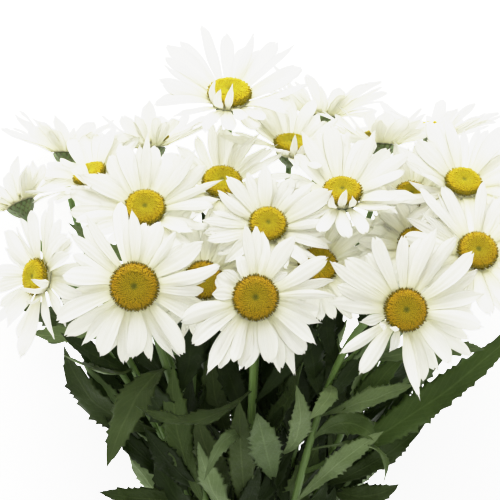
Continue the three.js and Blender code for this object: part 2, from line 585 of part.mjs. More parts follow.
/** The band round the stems, flat underneath where it lies on the surface. */
function tieSolid() {
  const halfWide = 2 * BUNDLE_PITCH + STEM_RADIUS + GAP + TIE_WALL;
  const height = 2 * (TIE_WALL + GAP + STEM_RADIUS) + 2 * BUNDLE_RISE;
  const roundedBox = (inset, radius) => {
    const [left, right, low, high] = [-halfWide + inset, halfWide - inset, inset, height - inset];
    const outline = new THREE.Path();
    outline.moveTo(left + radius, low);
    outline.lineTo(right - radius, low);
    outline.absarc(right - radius, low + radius, radius, -90 * DEGREE, 0);
    outline.lineTo(right, high - radius);
    outline.absarc(right - radius, high - radius, radius, 0, 90 * DEGREE);
    outline.lineTo(left + radius, high);
    outline.absarc(left + radius, high - radius, radius, 90 * DEGREE, 180 * DEGREE);
    outline.lineTo(left, low + radius);
    outline.absarc(left + radius, low + radius, radius, 180 * DEGREE, 270 * DEGREE);
    return outline;
  };
  const band = new THREE.Shape(roundedBox(0, TIE_CORNER).getPoints(TIE_ROUNDING));
  band.holes.push(roundedBox(TIE_WALL, TIE_CORNER - TIE_WALL));
  const settings = { depth: TIE_WIDTH, bevelEnabled: false, curveSegments: TIE_ROUNDING };
  const geometry = new THREE.ExtrudeGeometry(band, settings);
  return solidFromGeometry(geometry.rotateX(90 * DEGREE).translate(0, 0.5 * TIE_WIDTH, 0));
}

// ---------------------------------------------------------------- bending clear

const obstacles = [];

function addObstacle(node, whole, blade = null) {
  obstacles.push({ node, whole, blade, box: whole.boundingBox() });
}

function near(box, other) {
  return [0, 1, 2].every((k) => box.min[k] < other.max[k] + GAP && other.min[k] < box.max[k] + GAP);
}

/** Whether a blade clears the surface, every other node, and the blades of its own node. */
function isClear(node, whole, blade) {
  const box = whole.boundingBox();
  if (box.min[2] < 0) return false;
  return obstacles.filter((other) => near(box, other.box)).every((other) => {
    if (other.node !== node) return whole.minGap(other.whole, GAP) >= LEAST_GAP;
    return !blade || !other.blade || blade.minGap(other.blade, 2 * NEIGHBOUR_GAP) >= NEIGHBOUR_GAP;
  });
}

/** The first clear shape of a blade, longest and least bent first, or null. */
function firstClear(node, shares, bends, shapeFor) {
  for (const share of shares) {
    for (const bend of bends) {
      const shape = shapeFor(bend, share);
      if (isClear(node, shape.whole, shape.blade)) return { ...shape, bend, share };
    }
  }
  return null;
}

// ---------------------------------------------------------------- the bunch

const solids = new Map();
const names = Object.keys(BLOOMS);

for (const name of Object.keys(STEMS)) {
  solids.set(`stem_${name}`, stemSolid(name));
  addObstacle(`stem_${name}`, solids.get(`stem_${name}`));
}
names.forEach((name, index) => {
  solids.set(`disc_${name}`, discSolid(BLOOMS[name]));
  addObstacle(`disc_${name}`, solids.get(`disc_${name}`));
  addObstacle(`petals_${name}`, petalBody(BLOOMS[name], index + 1, []));
});
names.forEach((name, index) => {
  const node = `petals_${name}`;
  const bloom = BLOOMS[name];
  const placed = petalsOf(bloom, index + 1).map((petal) => {
    const found = firstClear(node, PETAL_SHARES, PETAL_BENDS, (bend, share) => {
      const rings = petalRings(bloom, petal, bend, share);
      const alone = [];
      alone[petal.facet] = rings;
      return { rings, blade: loft(rings), whole: petalBody(bloom, index + 1, alone) };
    });
    if (!found) return null;
    addObstacle(node, found.whole, found.blade);
    return found.rings;
  });
  solids.set(node, petalBody(bloom, index + 1, placed));
});
for (const blade of [...LEAVES, ...fillerLeaves()]) {
  const node = `stem_${blade.stem}`;
  const shapeFor = (bend, share) => ({ whole: loft(leafRings(blade, bend, share)) });
  const found = firstClear(node, LEAF_SHARES, LEAF_BENDS, shapeFor);
  if (!found) continue;
  addObstacle(node, found.whole);
  solids.set(node, solids.get(node).add(found.whole));
}
solids.set('tie', tieSolid());

function meshOf(name, solid) {
  const { vertProperties, triVerts } = solid.getMesh();
  const geometry = new THREE.BufferGeometry();
  geometry.setAttribute('position', new THREE.BufferAttribute(vertProperties, 3));
  geometry.setIndex(new THREE.BufferAttribute(triVerts, 1));
  geometry.computeVertexNormals();
  const kind = { petals: 'petal', disc: 'disc', stem: 'green', tie: 'tie' }[name.split('_')[0]];
  const material = new THREE.MeshStandardMaterial({ color: COLOURS[kind], roughness: 0.7, metalness: 0 });
  const mesh = new THREE.Mesh(geometry, material);
  mesh.name = name;
  return mesh;
}

const bunch = new THREE.Group();
for (const [name, solid] of solids) bunch.add(meshOf(name, solid));

export default bunch;
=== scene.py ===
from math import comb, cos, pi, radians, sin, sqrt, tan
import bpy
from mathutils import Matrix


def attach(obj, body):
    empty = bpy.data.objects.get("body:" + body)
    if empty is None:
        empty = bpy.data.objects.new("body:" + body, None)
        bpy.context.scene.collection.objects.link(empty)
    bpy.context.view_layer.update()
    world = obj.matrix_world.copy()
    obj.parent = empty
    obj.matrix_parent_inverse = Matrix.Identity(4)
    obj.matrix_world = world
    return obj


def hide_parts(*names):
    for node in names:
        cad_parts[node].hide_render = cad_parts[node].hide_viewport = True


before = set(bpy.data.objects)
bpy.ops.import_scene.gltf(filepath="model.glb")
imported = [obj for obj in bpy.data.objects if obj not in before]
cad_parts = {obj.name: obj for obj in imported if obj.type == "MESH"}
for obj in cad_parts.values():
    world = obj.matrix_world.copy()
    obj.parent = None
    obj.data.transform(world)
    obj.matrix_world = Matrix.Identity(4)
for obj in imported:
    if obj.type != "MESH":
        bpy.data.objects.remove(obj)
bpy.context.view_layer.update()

# The looks of a bunch of white daisies that lies on its back. Every solid of the frame is replaced by
# a finer piece of the same form. Sizes are in millimetres here, and become metres when a mesh is made.

from types import SimpleNamespace as Named

import bpy
import numpy as np
from mathutils import Vector
from mathutils.kdtree import KDTree

MM = 0.001

# ---- the same numbers as the solids

GAP = 0.35
STEM_RADIUS = 2.2
SIDE_STEM_RADIUS = 1.8
BUNDLE_PITCH = 5.1
BUNDLE_RISE = 4.6
TIE_WIDTH = 10
TIE_WALL = 1.4
TIE_CORNER = 4
TIED_LENGTH = 16
CUT_LENGTH = 88
CUT_UNEVEN = 9
CUT_SPREAD = 1.7
CUT_RISE = 0.8
CUT_BENDS = ((1.3, 0.6), (1, 0.2))
FAN_START = 78
FAN_LEAN = 0.1
NECK = 48
BRANCH_FROM = 0.42
BRANCH_START = 35
CORE_DEPTH = 3.4
CORE_SHARE = 0.93
CALYX_DEPTH = 9

PETAL_WIDTH = 9.6
PETAL_ROOT = 0.5
PETAL_TIP = 0.46
PETAL_WIDEST = 0.58
PETAL_TAPER = 2.2
PETAL_KEEL = 0.95
KEEL_THINS = 0.3
PETAL_CURL = 8
PETAL_UNEVEN = dict(turn=0.3, length=0.28, lift=10, curl=34, twist=56, width=0.56, sway=0.3)
UPPER_LAYER = dict(height=-1.1, length=0.96, lift=5)
LOWER_LAYER = dict(height=-2.2, length=1, lift=-4)
BLOOM_TURN = 11
FOLDED = dict(lift=56, curl=-62, twist=0)
FOLDED_LENGTH = 0.6
FOLDED_WIDTH = 0.54
SHORT_LENGTH = 0.42

LEAF_FOLD = 0.22
LEAF_FOOT = 0.1
LEAF_STALK = 0.16
LEAF_SKEW = 1.2

FILLERS = 2
FILLER_FROM = 0.22
FILLER_STEP = 0.17
FILLER_UNEVEN = 0.5
FILLER_TURN = 180
FILLER_TURN_UNEVEN = 70
FILLER_LENGTH = (63, 22)
FILLER_WIDTH = (13.6, 5.1)
FILLER_ANGLE = 24
FILLER_BOW = 1.5
FILLER_FACE = 1.1

PETAL_BENDS = [0, -4, 4, -8, 8, -13, 13, -19, 19, -26, 26, -35, 35, -46, 46, 58]
PETAL_SHARES = [1, 0.86, 0.72, 0.58, 0.45]
BEND_CURL = 0.4
LEAF_BENDS = [
    (0, 0), (4, 4), (-4, -4), (0, 8), (8, 0), (8, 8), (-8, -8), (0, -8), (14, 14), (-14, -14),
    (10, -10), (-10, 10), (0, 18), (20, 20), (-20, -20), (18, 0), (0, -18), (28, 28), (-28, -28),
]
LEAF_SHARES = [1, 0.8, 0.62]


def unit(v):
    v = np.asarray(v, float)
    return v / np.linalg.norm(v, axis=-1, keepdims=True)


def across_frame(tangent):
    """Two directions square to each tangent, the first turned towards +X."""
    u = unit(np.array([1.0, 0, 0]) - tangent[..., :1] * tangent)
    return u, np.cross(tangent, u)


def bloom(at, look, reach, disc, petals, rise, over=(), short=()):
    """Where its disc sits, which way it looks, its reach, its disc's radius, its petals and their rise,
    and the directions in which petals fold over the disc or are short."""
    look = unit(look)
    return Named(at=np.array(at, float), axes=np.array([*across_frame(look), look]), reach=reach,
                 disc=disc, petals=petals, rise=rise, over=over, short=short)


def stem(column, row, heads, leaves, arch=()):
    """Its column and row in the tied bundle, its heads, the second on a side stem, its leaves, and two
    points that an arched stem is drawn towards."""
    return Named(column=column, row=row, heads=heads, leaves=leaves,
                 arch=[np.array(p, float) for p in arch])


def leaf(start, bow, tip, face, width, pale=False, deep=False, tone=None):
    """How far up its stem it grows, the point that bows it, its tip, which way it faces, its width,
    whether its pale underside is up, whether it lies deep in the bunch, where its green is darkened as
    painted shade, and its tone if not drawn."""
    return Named(start=start, bow=np.array(bow, float), tip=np.array(tip, float), face=unit(face),
                 width=width, pale=pale, deep=deep, tone=tone)


BLOOMS = {
    "front_left": bloom([-63, 240, 150], [-0.03, 0.05, 1], 46, 13, 19, -2),
    "front_mid": bloom([3, 234, 152], [0, 0.08, 1], 43, 12.2, 19, 0, short=[43, 117, 136, 155, 174]),
    "front_right": bloom([85, 227, 146], [0.12, 0.1, 1], 46, 11.6, 18, 2, over=[213, 233],
                         short=[193, 253]),
    "left_low": bloom([-119, 245, 122], [-0.72, 0.1, 0.69], 41, 9.8, 15, 10, over=[286, 310, 335]),
    "mid_a": bloom([-26, 243, 120], [0.05, 0.2, 0.97], 37, 10.6, 14, 6),
    "mid_b": bloom([38, 251, 118], [0.1, 0.4, 0.9], 38, 10.6, 15, 12),
    "right_mid": bloom([94, 263, 108], [0, 0.45, 0.9], 36, 10, 14, 16, over=[278]),
    "right_low": bloom([127, 259, 122], [0.12, 0.42, 0.9], 44, 11, 16, 12, over=[232]),
    "mid_c": bloom([10, 274, 120], [0.05, 0.45, 0.9], 37, 10.2, 14, 16, over=[262]),
    "left_mid": bloom([-59, 283, 114], [0, 0.5, 0.86], 42, 11.2, 17, 20),
    "centre": bloom([52, 292, 112], [0, 0.72, 0.7], 43, 10.8, 17, 24, over=[248, 272, 294]),
    "right_c": bloom([93, 291, 86], [0, 0.66, 0.75], 35, 9.4, 12, 24),
    "right_up": bloom([122, 298, 94], [0.1, 0.68, 0.73], 43, 10.2, 16, 26),
    "up_c": bloom([-16, 298, 94], [0.05, 0.62, 0.78], 42, 11, 16, 22),
    "left_c": bloom([-92, 303, 84], [-0.35, 0.78, 0.52], 39, 9.6, 14, 30),
    "left_up": bloom([-134, 290, 84], [-0.42, 0.9, -0.08], 41, 10, 14, 34),
    "far_left": bloom([-110, 322, 31.35], [0.02, 0.99, -0.04], 40, 9.8, 13, 42),
    "up_d": bloom([24, 320, 80], [0.1, 0.84, 0.53], 40, 10, 15, 30, over=[262, 290]),
    "top": bloom([-12, 350, 74], [0.03, 0.76, 0.65], 49, 12.4, 19, 27, over=[227, 248, 266]),
    "back_a": bloom([-58, 324, 60], [-0.05, 0.99, 0.02], 39, 9.8, 13, 38),
    "back_b": bloom([44, 344, 29.74], [0.1, 0.99, -0.06], 40, 9.8, 13, 42),
    "back_c": bloom([78, 326, 60], [0.05, 0.99, 0.02], 41, 9.8, 13, 40),
    "back_d": bloom([112, 332, 31.84], [0.1, 0.98, -0.05], 40, 9.6, 13, 42),
}
STEMS = {
    "front_left": stem(-1.5, 2, ["front_left", "mid_a"], [
        leaf(0.65, [-64, 188, 122], [-81, 137, 108], [-0.3, 0.2, 0.93], 19),
        leaf(0.34, [-48, 150, 72], [-44, 194, 92], [0.1, -0.1, 1], 17),
    ]),
    "front_mid": stem(-0.5, 2, ["front_mid", "mid_c"], [
        leaf(0.62, [-30, 152, 128], [-64, 173, 120], [0, 0.75, 0.66], 12),
        leaf(0.5, [-14, 166, 108], [-26, 129, 104], [0.6, 0.2, 0.75], 9, pale=True),
        leaf(0.3, [-6, 140, 78], [-6, 174, 96], [-0.2, 0, 1], 16),
    ]),
    "mid_b": stem(0.5, 2, ["mid_b", "up_d"], [
        leaf(0.4, [9, 146, 96], [4, 168, 108], [0.1, -0.2, 1], 18, pale=True),
        leaf(0.46, [34, 152, 100], [26, 184, 112], [0.2, 0, 1], 13, pale=True),
    ]),
    "front_right": stem(1.5, 2, ["front_right", "right_low"], [
        leaf(0.2, [50, 140, 92], [76, 157, 102], [0, 0.4, 0.9], 12, pale=True),
        leaf(0.44, [50, 180, 112], [33, 164, 112], [0.1, 0.4, 0.9], 10, pale=True),
        leaf(0.36, [70, 176, 112], [92, 184, 110], [0, 0.5, 0.85], 14, pale=True),
        leaf(0.31, [58, 172, 92], [73, 150, 100], [0.3, 0, 0.95], 15),
        leaf(0.25, [98, 158, 82], [164, 224, 92], [-0.3, 0.3, 0.9], 20, tone=1.1),
        leaf(0.29, [84, 160, 108], [76, 128, 104], [0.7, 0.1, 0.7], 7),
        leaf(0.5, [112, 206, 104], [132, 204, 112], [0, 0.4, 0.9], 11, pale=True),
    ], [(40, 212, 82), (64, 228, 104)]),
    "left_low": stem(-2, 1, ["left_low", "left_up"], [
        leaf(0.5, [-95, 158, 72], [-107, 205, 88], [-0.4, -0.1, 0.9], 18),
        leaf(0.64, [-80, 184, 92], [-106, 201, 104], [0.3, 0.85, 0.4], 11),
        leaf(0.36, [-62, 112, 50], [-84, 108, 56], [-0.2, 0.5, 0.85], 12),
        leaf(0.3, [-56, 126, 62], [-64, 166, 74], [-0.3, 0, 1], 18),
        leaf(0.76, [-108, 206, 92], [-128, 214, 96], [0, 0.5, 0.85], 13, pale=True),
        leaf(0.46, [-84, 168, 56], [-100, 212, 62], [0.2, 0, 1], 16, deep=True),
    ]),
    "left_mid": stem(-1, 1, ["left_mid", "left_c"], [
        leaf(0.34, [-60, 112, 62], [-88, 119, 72], [0, 0.3, 0.95], 13),
        leaf(0.8, [-88, 262, 74], [-106, 276, 70], [0, 0.6, 0.8], 10, pale=True),
        leaf(0.42, [-66, 176, 52], [-90, 218, 56], [-0.2, 0, 1], 19, deep=True),
        leaf(0.36, [-52, 160, 54], [-66, 206, 60], [0.1, 0, 1], 18, deep=True),
    ]),
    "up_c": stem(0, 1, ["up_c"], [
        leaf(0.28, [-26, 130, 54], [-34, 166, 68], [0.2, 0, 1], 17),
        leaf(0.42, [-24, 168, 62], [-22, 204, 78], [-0.2, 0, 1], 15),
    ]),
    "centre": stem(1, 1, ["centre"], [
        leaf(0.24, [34, 118, 60], [46, 148, 80], [0.3, 0.1, 1], 17),
        leaf(0.42, [26, 172, 58], [20, 206, 76], [0.1, 0, 1], 16),
    ]),
    "right_mid": stem(2, 1, ["right_mid", "right_c"], [
        leaf(0.5, [66, 178, 84], [90, 202, 96], [-0.2, 0.3, 0.9], 15),
        leaf(0.38, [76, 134, 66], [101, 161, 84], [-0.2, 0.2, 1], 13),
        leaf(0.46, [48, 178, 62], [48, 212, 76], [0.2, 0, 1], 15),
    ]),
    "far_left": stem(-1.5, 0, ["far_left"], [
        leaf(0.4, [-64, 150, 6], [-96, 196, 2.4], [0, 0, -1], 17),
        leaf(0.6, [-110, 214, 34], [-142, 232, 40], [-0.3, -0.2, 0.9], 15),
    ]),
    "top": stem(-0.5, 0, ["top", "back_a"], [
        leaf(0.42, [-18, 172, 6], [-34, 228, 4], [0, 0, -1], 17),
    ]),
    "back_b": stem(0.5, 0, ["back_b", "back_c"], [
        leaf(0.42, [44, 158, 6], [78, 212, 2.4], [0, 0, -1], 18),
    ]),
    "right_up": stem(1.5, 0, ["right_up", "back_d"], [
        leaf(0.36, [68, 106, 38], [88, 122, 56], [-0.2, 0.1, 1], 14),
        leaf(0.5, [92, 172, 22], [128, 214, 18], [0.2, 0, -1], 16),
    ]),
}

# ---- fine detail

LOWEST = 0.05  # nothing reaches further down towards the surface
SAME_CORNER = 0.05  # a corner of a solid that is nearer than this is the one looked for

PETAL_ROWS = 15  # points along a petal and across it
PETAL_COLUMNS = 13
PETAL_THIN = 0.4  # thickness of a fine petal
FULL_PETALS = 31  # of a bloom, with the lower petals that show in the gaps
FULL_PETAL = dict(drawn=(0.04, 0.16), widest=(0.5, 0.7), tip=(0.4, 0.62), taper=(2, 3.4),
                  width=(0.9, 1.06), arch=(-0.5, 0.25))
SLIM_PETAL = dict(drawn=(0.16, 0.34), widest=(0.42, 0.6), tip=(0.22, 0.36), taper=(1.6, 2.4),
                  width=(0.72, 0.92), arch=(-0.7, 0.5))
SLIM_SHARE = 0.36  # of the petals
FOLDED_OUTLINE = dict(widest=0.45, tip=0.25, taper=1.6)
FOLDED_ARCH = 0.1
UNDER_FOLDED = dict(lift=-3, curl=12, twist=12, height=-2.9)  # the petal that lies under a folded one
UNDER_SHARE = 0.9  # its length and width
LOWER_SCALED = dict(length=(0.8, 1.02), width=(0.65, 1))  # the lower petals in the gaps
LOWER_TURNED = dict(lift=(-7, -1), twist=(-35, 35), sway=(-0.1, 0.1))
LOWER_SINK = 0.7
TIP_LONGER = 0.05  # shares of a petal's length
NOTCH = 0.045
RIB = 0.22
RIBS = 3
PETAL_WAVE = 0.5
PETAL_WAVES = 1.2
TIP_TURN = (-2.2, 1.6)

FLORETS = 640  # on the largest disc; smaller discs have fewer
LARGEST_DISC = 13
FLORET_SIDES = 6
GOLDEN_TURN = 137.508
OPEN_FLORETS = 0.62  # florets further out than this share of the disc's radius are open
RIM_FLORETS = 0.91  # and those further out than this stand outwards over the petals
BUD = ((0.8, 0.0), (0.95, 0.5), (0.72, 0.92), (0.3, 1.0))  # width and height, as shares
OPEN = ((0.8, 0.0), (0.95, 0.5), (1.05, 0.92), (0.45, 1.0))
OUTWARD = ((0.9, 0.0), (0.9, 0.4), (0.6, 0.75), (0.2, 1.0))
SKIRT = 72  # florets round the side of the largest disc
SKIRT_FLORET = ((0.9, -0.3), (1, 0.2), (0.75, 0.65), (0.1, 1.0))
SKIRT_LENGTH = 2.1
# the ground between the florets is coloured darker: painted shade in the gaps between them
GROUND = 1.3  # the shade of the ground between the florets

STEM_SIDES = 14
STEM_ROWS = 48
STEM_RIDGE = 0.05
BRANCH_SWELL = 0.35  # of a side stem where it starts
BRACT_ROWS = 3
BRACTS = 15
BRACT_LENGTH = 4.4
BRACT_STEP = 1.9

LEAF_ROWS = 96
DEEP_ROWS = 48  # on the leaves deep in the bunch
LEAF_COLUMNS = 9
LEAF_THIN = 0.5
LEAF_SAMPLE = 80  # length of the leaf that the teeth and veins are set for
LEAF_TEETH = 10  # on each side of it
LEAF_TEETH_FROM = 0.22
LEAF_TOOTH = 0.27  # depth of a fine tooth, as a share of the half width
LEAF_WAVE = 0.2  # and of the waves of the edge, the veins and the cockles
LEAF_VEIN = 0.02
LEAF_COCKLE = 0.09
LEAF_TONES = (0.4, 1.0)  # from dark to light green
# leaves deep in the bunch take the darkest tones, which are painted shade
DEEP_SHADE_TONES = (0.0, 0.3)
PALE_SHADE = 0.8
LEAF_ROLL = 24  # degrees that a leaf turns on its way to the tip, at most
DEEP_ROLL = 50
# these extra leaves take those dark tones: painted shade in the heart of the bunch
EXTRA_LEAVES = 10  # leaves low on each stem, which fill the dark heart of the bunch
EXTRA_FROM = 0.1
EXTRA_STEP = 0.055
EXTRA_LENGTH = (44, 76)
EXTRA_WIDTH = (9, 18)
DEEP_LOWEST = 8  # they stay this far above the surface
UNDER_BLOOM = 12  # and this far below the petals

BAND_STRANDS = 6
STRAND_DEPTH = 0.45

UP = np.array([0, 0, 1.0])


# ---- small geometry

def randomness(seed):
    """The seeded draw that the solids are made with."""
    state = seed * 7919

    def draw():
        nonlocal state
        state = (state * 1664525 + 1013904223) % 4294967296
        return state / 4294967296

    for _ in range(4):
        draw()
    return draw


def bezier(points, t):
    """Points and unit tangents of a curve of 2, 3 or 4 control points, at an array of places."""
    t = np.asarray(t, float)[..., None]
    degree = len(points) - 1
    at = sum(comb(degree, k) * (1 - t) ** (degree - k) * t ** k * p for k, p in enumerate(points))
    slope = sum(comb(degree - 1, k) * (1 - t) ** (degree - 1 - k) * t ** k
                * (points[k + 1] - points[k]) for k in range(degree))
    return at, unit(slope)


def placed(b, local):
    """Points of a bloom's own frame, where they are in the bunch."""
    return b.at + local @ b.axes


def angles_round(sides):
    return np.arange(sides) / sides * 2 * pi


def circle(sides, u, v):
    angle = angles_round(sides)
    return np.cos(angle)[:, None] * u + np.sin(angle)[:, None] * v


def way_out(turn):
    """The way out from an axis at a turn about it, and the way across that."""
    out = np.array([cos(turn), sin(turn), 0])
    return out, np.array([-out[1], out[0], 0])


def run_of(steps):
    """How far along each point lies, from the steps between them."""
    return np.concatenate([[0], np.cumsum(steps)])


def smooth(a, b, x):
    t = np.clip((np.asarray(x, float) - a) / (b - a), 0, 1)
    return t * t * (3 - 2 * t)


def link(name, data, at=(0, 0, 0)):
    obj = bpy.data.objects.new(name, data)
    obj.location = Vector(at) * MM
    bpy.context.scene.collection.objects.link(obj)
    return obj


class Skin:
    """Gathers patches of points and faces into one mesh, each point with a place on its patch (u, v),
    a tone that is drawn for the patch, and a shade that a patch sets point by point."""

    def __init__(self):
        self.points, self.faces, self.uv, self.tone, self.shade, self.slots = ([] for _ in range(6))
        self.count = 0

    def add(self, points, faces, ends, uv, tone, shade, slot=0):
        """Four-sided faces as an array, and end faces of any number of sides as lists."""
        n = len(points)
        points = np.array(points, float)
        points[:, 2] = np.maximum(points[:, 2], LOWEST)
        self.points.append(points)
        self.faces.extend((np.asarray(faces) + self.count).tolist())
        self.faces.extend([i + self.count for i in dict.fromkeys(end)] for end in ends)
        self.uv.append(uv)
        self.tone.append(np.broadcast_to(tone, n))
        self.shade.append(np.broadcast_to(shade, n))
        self.slots.extend([slot] * (len(faces) + len(ends)))
        self.count += n

    def piece(self, name, materials, slot):
        """The gathered mesh as a piece of the object, in metres."""
        mesh = bpy.data.meshes.new(name)
        mesh.from_pydata((np.concatenate(self.points) * MM).tolist(), [], self.faces)
        loops = np.empty(len(mesh.loops), np.int32)
        mesh.loops.foreach_get("vertex_index", loops)
        layer = mesh.uv_layers.new(name="UVMap")
        layer.data.foreach_set("uv", np.concatenate(self.uv)[loops].astype(np.float32).ravel())
        for label, values in (("tone", self.tone), ("shade", self.shade)):
            attribute = mesh.attributes.new(label, "FLOAT", "POINT")
            attribute.data.foreach_set("value", np.concatenate(values).astype(np.float32))
        mesh.polygons.foreach_set("material_index", np.array(self.slots, np.int32))
        mesh.shade_smooth()
        for material in materials:
            mesh.materials.append(material)
        obj = link(name, mesh)
        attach(obj, "root")
        return obj


def grid_faces(rows, columns, closed):
    """Quads between the rows of a grid of points, each row closed on itself or not."""
    i, j = np.meshgrid(np.arange(rows - 1), np.arange(columns if closed else columns - 1), indexing="ij")
    a = i * columns + j
    b = i * columns + (j + 1) % columns
    return np.stack([a, b, b + columns, a + columns], -1).reshape(-1, 4)


def outward(points, faces, ends):
    """The faces and the end faces, turned over if they point into the closed shape."""
    corner = (points - points.mean(0))[faces]
    volume = np.einsum("ij,ij->", corner[:, 0], np.cross(corner[:, 1], corner[:, 2]))
    volume += np.einsum("ij,ij->", corner[:, 0], np.cross(corner[:, 2], corner[:, 3]))
    if volume < 0:
        return faces[:, ::-1], [end[::-1] for end in ends]
    return faces, ends


def blade(skin, top, bottom, uv, tone, shade, under_shade, slot=0):
    """A thin closed blade between two grids of points that share their side edges."""
    shade = np.broadcast_to(shade, top.shape[:2])
    under_shade = np.broadcast_to(under_shade, top.shape[:2])
    rows, columns = top.shape[:2]
    inner = bottom[:, -2:0:-1]
    ring = np.concatenate([top, inner], 1)
    ring_uv = np.concatenate([uv, uv[:, -2:0:-1]], 1)
    around = ring.shape[1]
    last = (rows - 1) * around
    below = [0, *range(around - 1, columns - 1, -1), columns - 1]
    strips = [[j, below[j], below[j + 1], j + 1] for j in range(columns - 1)]
    ends = strips + [[last + k for k in reversed(strip)] for strip in strips]
    points = ring.reshape(-1, 3)
    faces, ends = outward(points, grid_faces(rows, around, True), ends)
    shades = np.concatenate([shade, under_shade[:, -2:0:-1]], 1)
    skin.add(points, faces, ends, ring_uv.reshape(-1, 2), tone, shades.ravel(), slot)


def tube(skin, rings, lengths, tone, shade, slot=0):
    """A closed tube through rings of points, with a length and a shade for each ring."""
    rows, sides = rings.shape[:2]
    points = rings.reshape(-1, 3)
    u = np.broadcast_to(np.arange(sides) / sides, (rows, sides))
    v = np.broadcast_to(np.asarray(lengths, float)[:, None], (rows, sides))
    uv = np.stack([u, v], -1).reshape(-1, 2)
    ends = [list(range(sides - 1, -1, -1)), list(range((rows - 1) * sides, rows * sides))]
    faces, ends = outward(points, grid_faces(rows, sides, True), ends)
    shades = np.broadcast_to(np.broadcast_to(shade, rows)[:, None], (rows, sides)).ravel()
    skin.add(points, faces, ends, uv, tone, shades, slot)


def lathe(skin, b, profile, sides, tone, shade, slot=0):
    """A round form about a bloom's own axis, from (radius, height) points."""
    angle = angles_round(sides)
    radius, height = np.asarray(profile, float).T
    local = np.stack([radius[:, None] * np.cos(angle), radius[:, None] * np.sin(angle),
                      np.broadcast_to(height[:, None], (len(radius), sides))], -1)
    tube(skin, placed(b, local), run_of(np.hypot(np.diff(radius), np.diff(height))), tone, shade, slot)


class Corners:
    """The corners of a solid of the frame, to tell which of some shapes it took."""

    def __init__(self, node):
        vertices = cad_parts[node].data.vertices
        self.tree = KDTree(len(vertices))
        for i, v in enumerate(vertices):
            self.tree.insert(v.co, i)
        self.tree.balance()

    def hold(self, points):
        return all(self.tree.find(Vector(p * MM))[2] < SAME_CORNER * MM for p in points)


# ---- petals

def petals_of(b, seed):
    """The petals of a bloom: where each points, and its own shape."""
    draw = randomness(seed)
    petals = []
    for i in range(b.petals):
        layer = UPPER_LAYER if i % 2 == 0 else LOWER_LAYER
        uneven = lambda key: PETAL_UNEVEN[key] * (draw() - 0.5)
        petal = dict(
            turn=(i + uneven("turn")) * (360 / b.petals) + BLOOM_TURN * seed,
            height=layer["height"],
            length=b.reach * (1 + uneven("length")) * layer["length"] - b.disc,
            lift=b.rise + uneven("lift") + layer["lift"],
            curl=PETAL_CURL + uneven("curl"),
            twist=uneven("twist"),
            width=PETAL_WIDTH * (1 + uneven("width")),
            sway=uneven("sway"),
            plain=True,
        )

        def near(directions):
            return any(abs((petal["turn"] - a + 900) % 360 - 180) < 180 / b.petals for a in directions)

        if near(b.over):
            petal.update(FOLDED, length=FOLDED_LENGTH * petal["length"],
                         width=FOLDED_WIDTH * petal["width"], plain=False, pointed=True)
        elif near(b.short):
            petal.update(length=SHORT_LENGTH * petal["length"], plain=False)
        petals.append(petal)
    return petals


def petal_share(s, widest=PETAL_WIDEST, tip=PETAL_TIP, taper=PETAL_TAPER):
    """Half the width of a petal, as a share, from its root (0) to its narrow tip (1)."""
    swell = PETAL_ROOT + (1 - PETAL_ROOT) * smooth(0, widest, s)
    past = np.clip((s - widest) / (1 - widest), 0, None)
    return swell * (1 - (1 - tip) * past ** taper)


def petal_line(b, petal, s):
    """Centres, sides and faces of a petal at places along it, in the bloom's own frame."""
    out, across = way_out(radians(petal["turn"]))
    lift, curl = radians(petal["lift"]), radians(petal["curl"])
    s = np.asarray(s, float)[..., None]
    angle = lift - curl * s
    if abs(curl) < 1e-6:
        run, rise = s * cos(lift), s * sin(lift)
    else:
        run = (sin(lift) - np.sin(angle)) / curl
        rise = (np.cos(angle) - cos(lift)) / curl
    length = petal["length"]
    centre = (out * (CORE_SHARE * b.disc + length * run) + UP * (petal["height"] + length * rise)
              + across * (length * petal["sway"] * s ** 2))
    normal = UP * np.cos(angle) - out * np.sin(angle)
    turned = radians(petal["twist"]) * s
    side = across * np.cos(turned) + normal * np.sin(turned)
    face = normal * np.cos(turned) - across * np.sin(turned)
    return centre, side, face


def bent(petal, bend, share):
    return dict(petal, lift=petal["lift"] + bend, curl=petal["curl"] + BEND_CURL * bend,
                length=petal["length"] * share)


def tip_held(b, petal, corners):
    """Whether the solid has the tip of a petal."""
    centre, side, face = petal_line(b, petal, 1.0)
    half = 0.5 * petal["width"] * petal_share(1.0)
    tip = [centre + side * half, centre - side * half, centre - face * PETAL_KEEL * (1 - KEEL_THINS)]
    return corners.hold([placed(b, p) for p in tip])


def found_petals(name, seed):
    """The petals as the solid has them, each bent clear of its neighbours, or None if left out."""
    b = BLOOMS[name]
    corners = Corners("petals_" + name)
    found = []
    for petal in petals_of(b, seed):
        trials = (bent(petal, bend, share) for share in PETAL_SHARES for bend in PETAL_BENDS)
        found.append(next((trial for trial in trials if tip_held(b, trial, corners)), None))
    return found


def between(a, c, share, rng):
    """A lower petal that shows in the gap between two neighbours, some of them narrow or turned."""
    mean = {key: a[key] + share * (c[key] - a[key]) for key in PETAL_UNEVEN}
    for key, limits in LOWER_SCALED.items():
        mean[key] *= rng.uniform(*limits)
    for key, limits in LOWER_TURNED.items():
        mean[key] += rng.uniform(*limits)
    return dict(mean, height=LOWER_LAYER["height"] - LOWER_SINK, plain=True)


def under(b, petal):
    """The petal that lies flat under a folded one."""
    whole = {**petal, **UNDER_FOLDED, "length": UNDER_SHARE * (b.reach - b.disc),
             "width": UNDER_SHARE * PETAL_WIDTH, "pointed": False, "plain": True}
    whole["lift"] += b.rise
    return whole


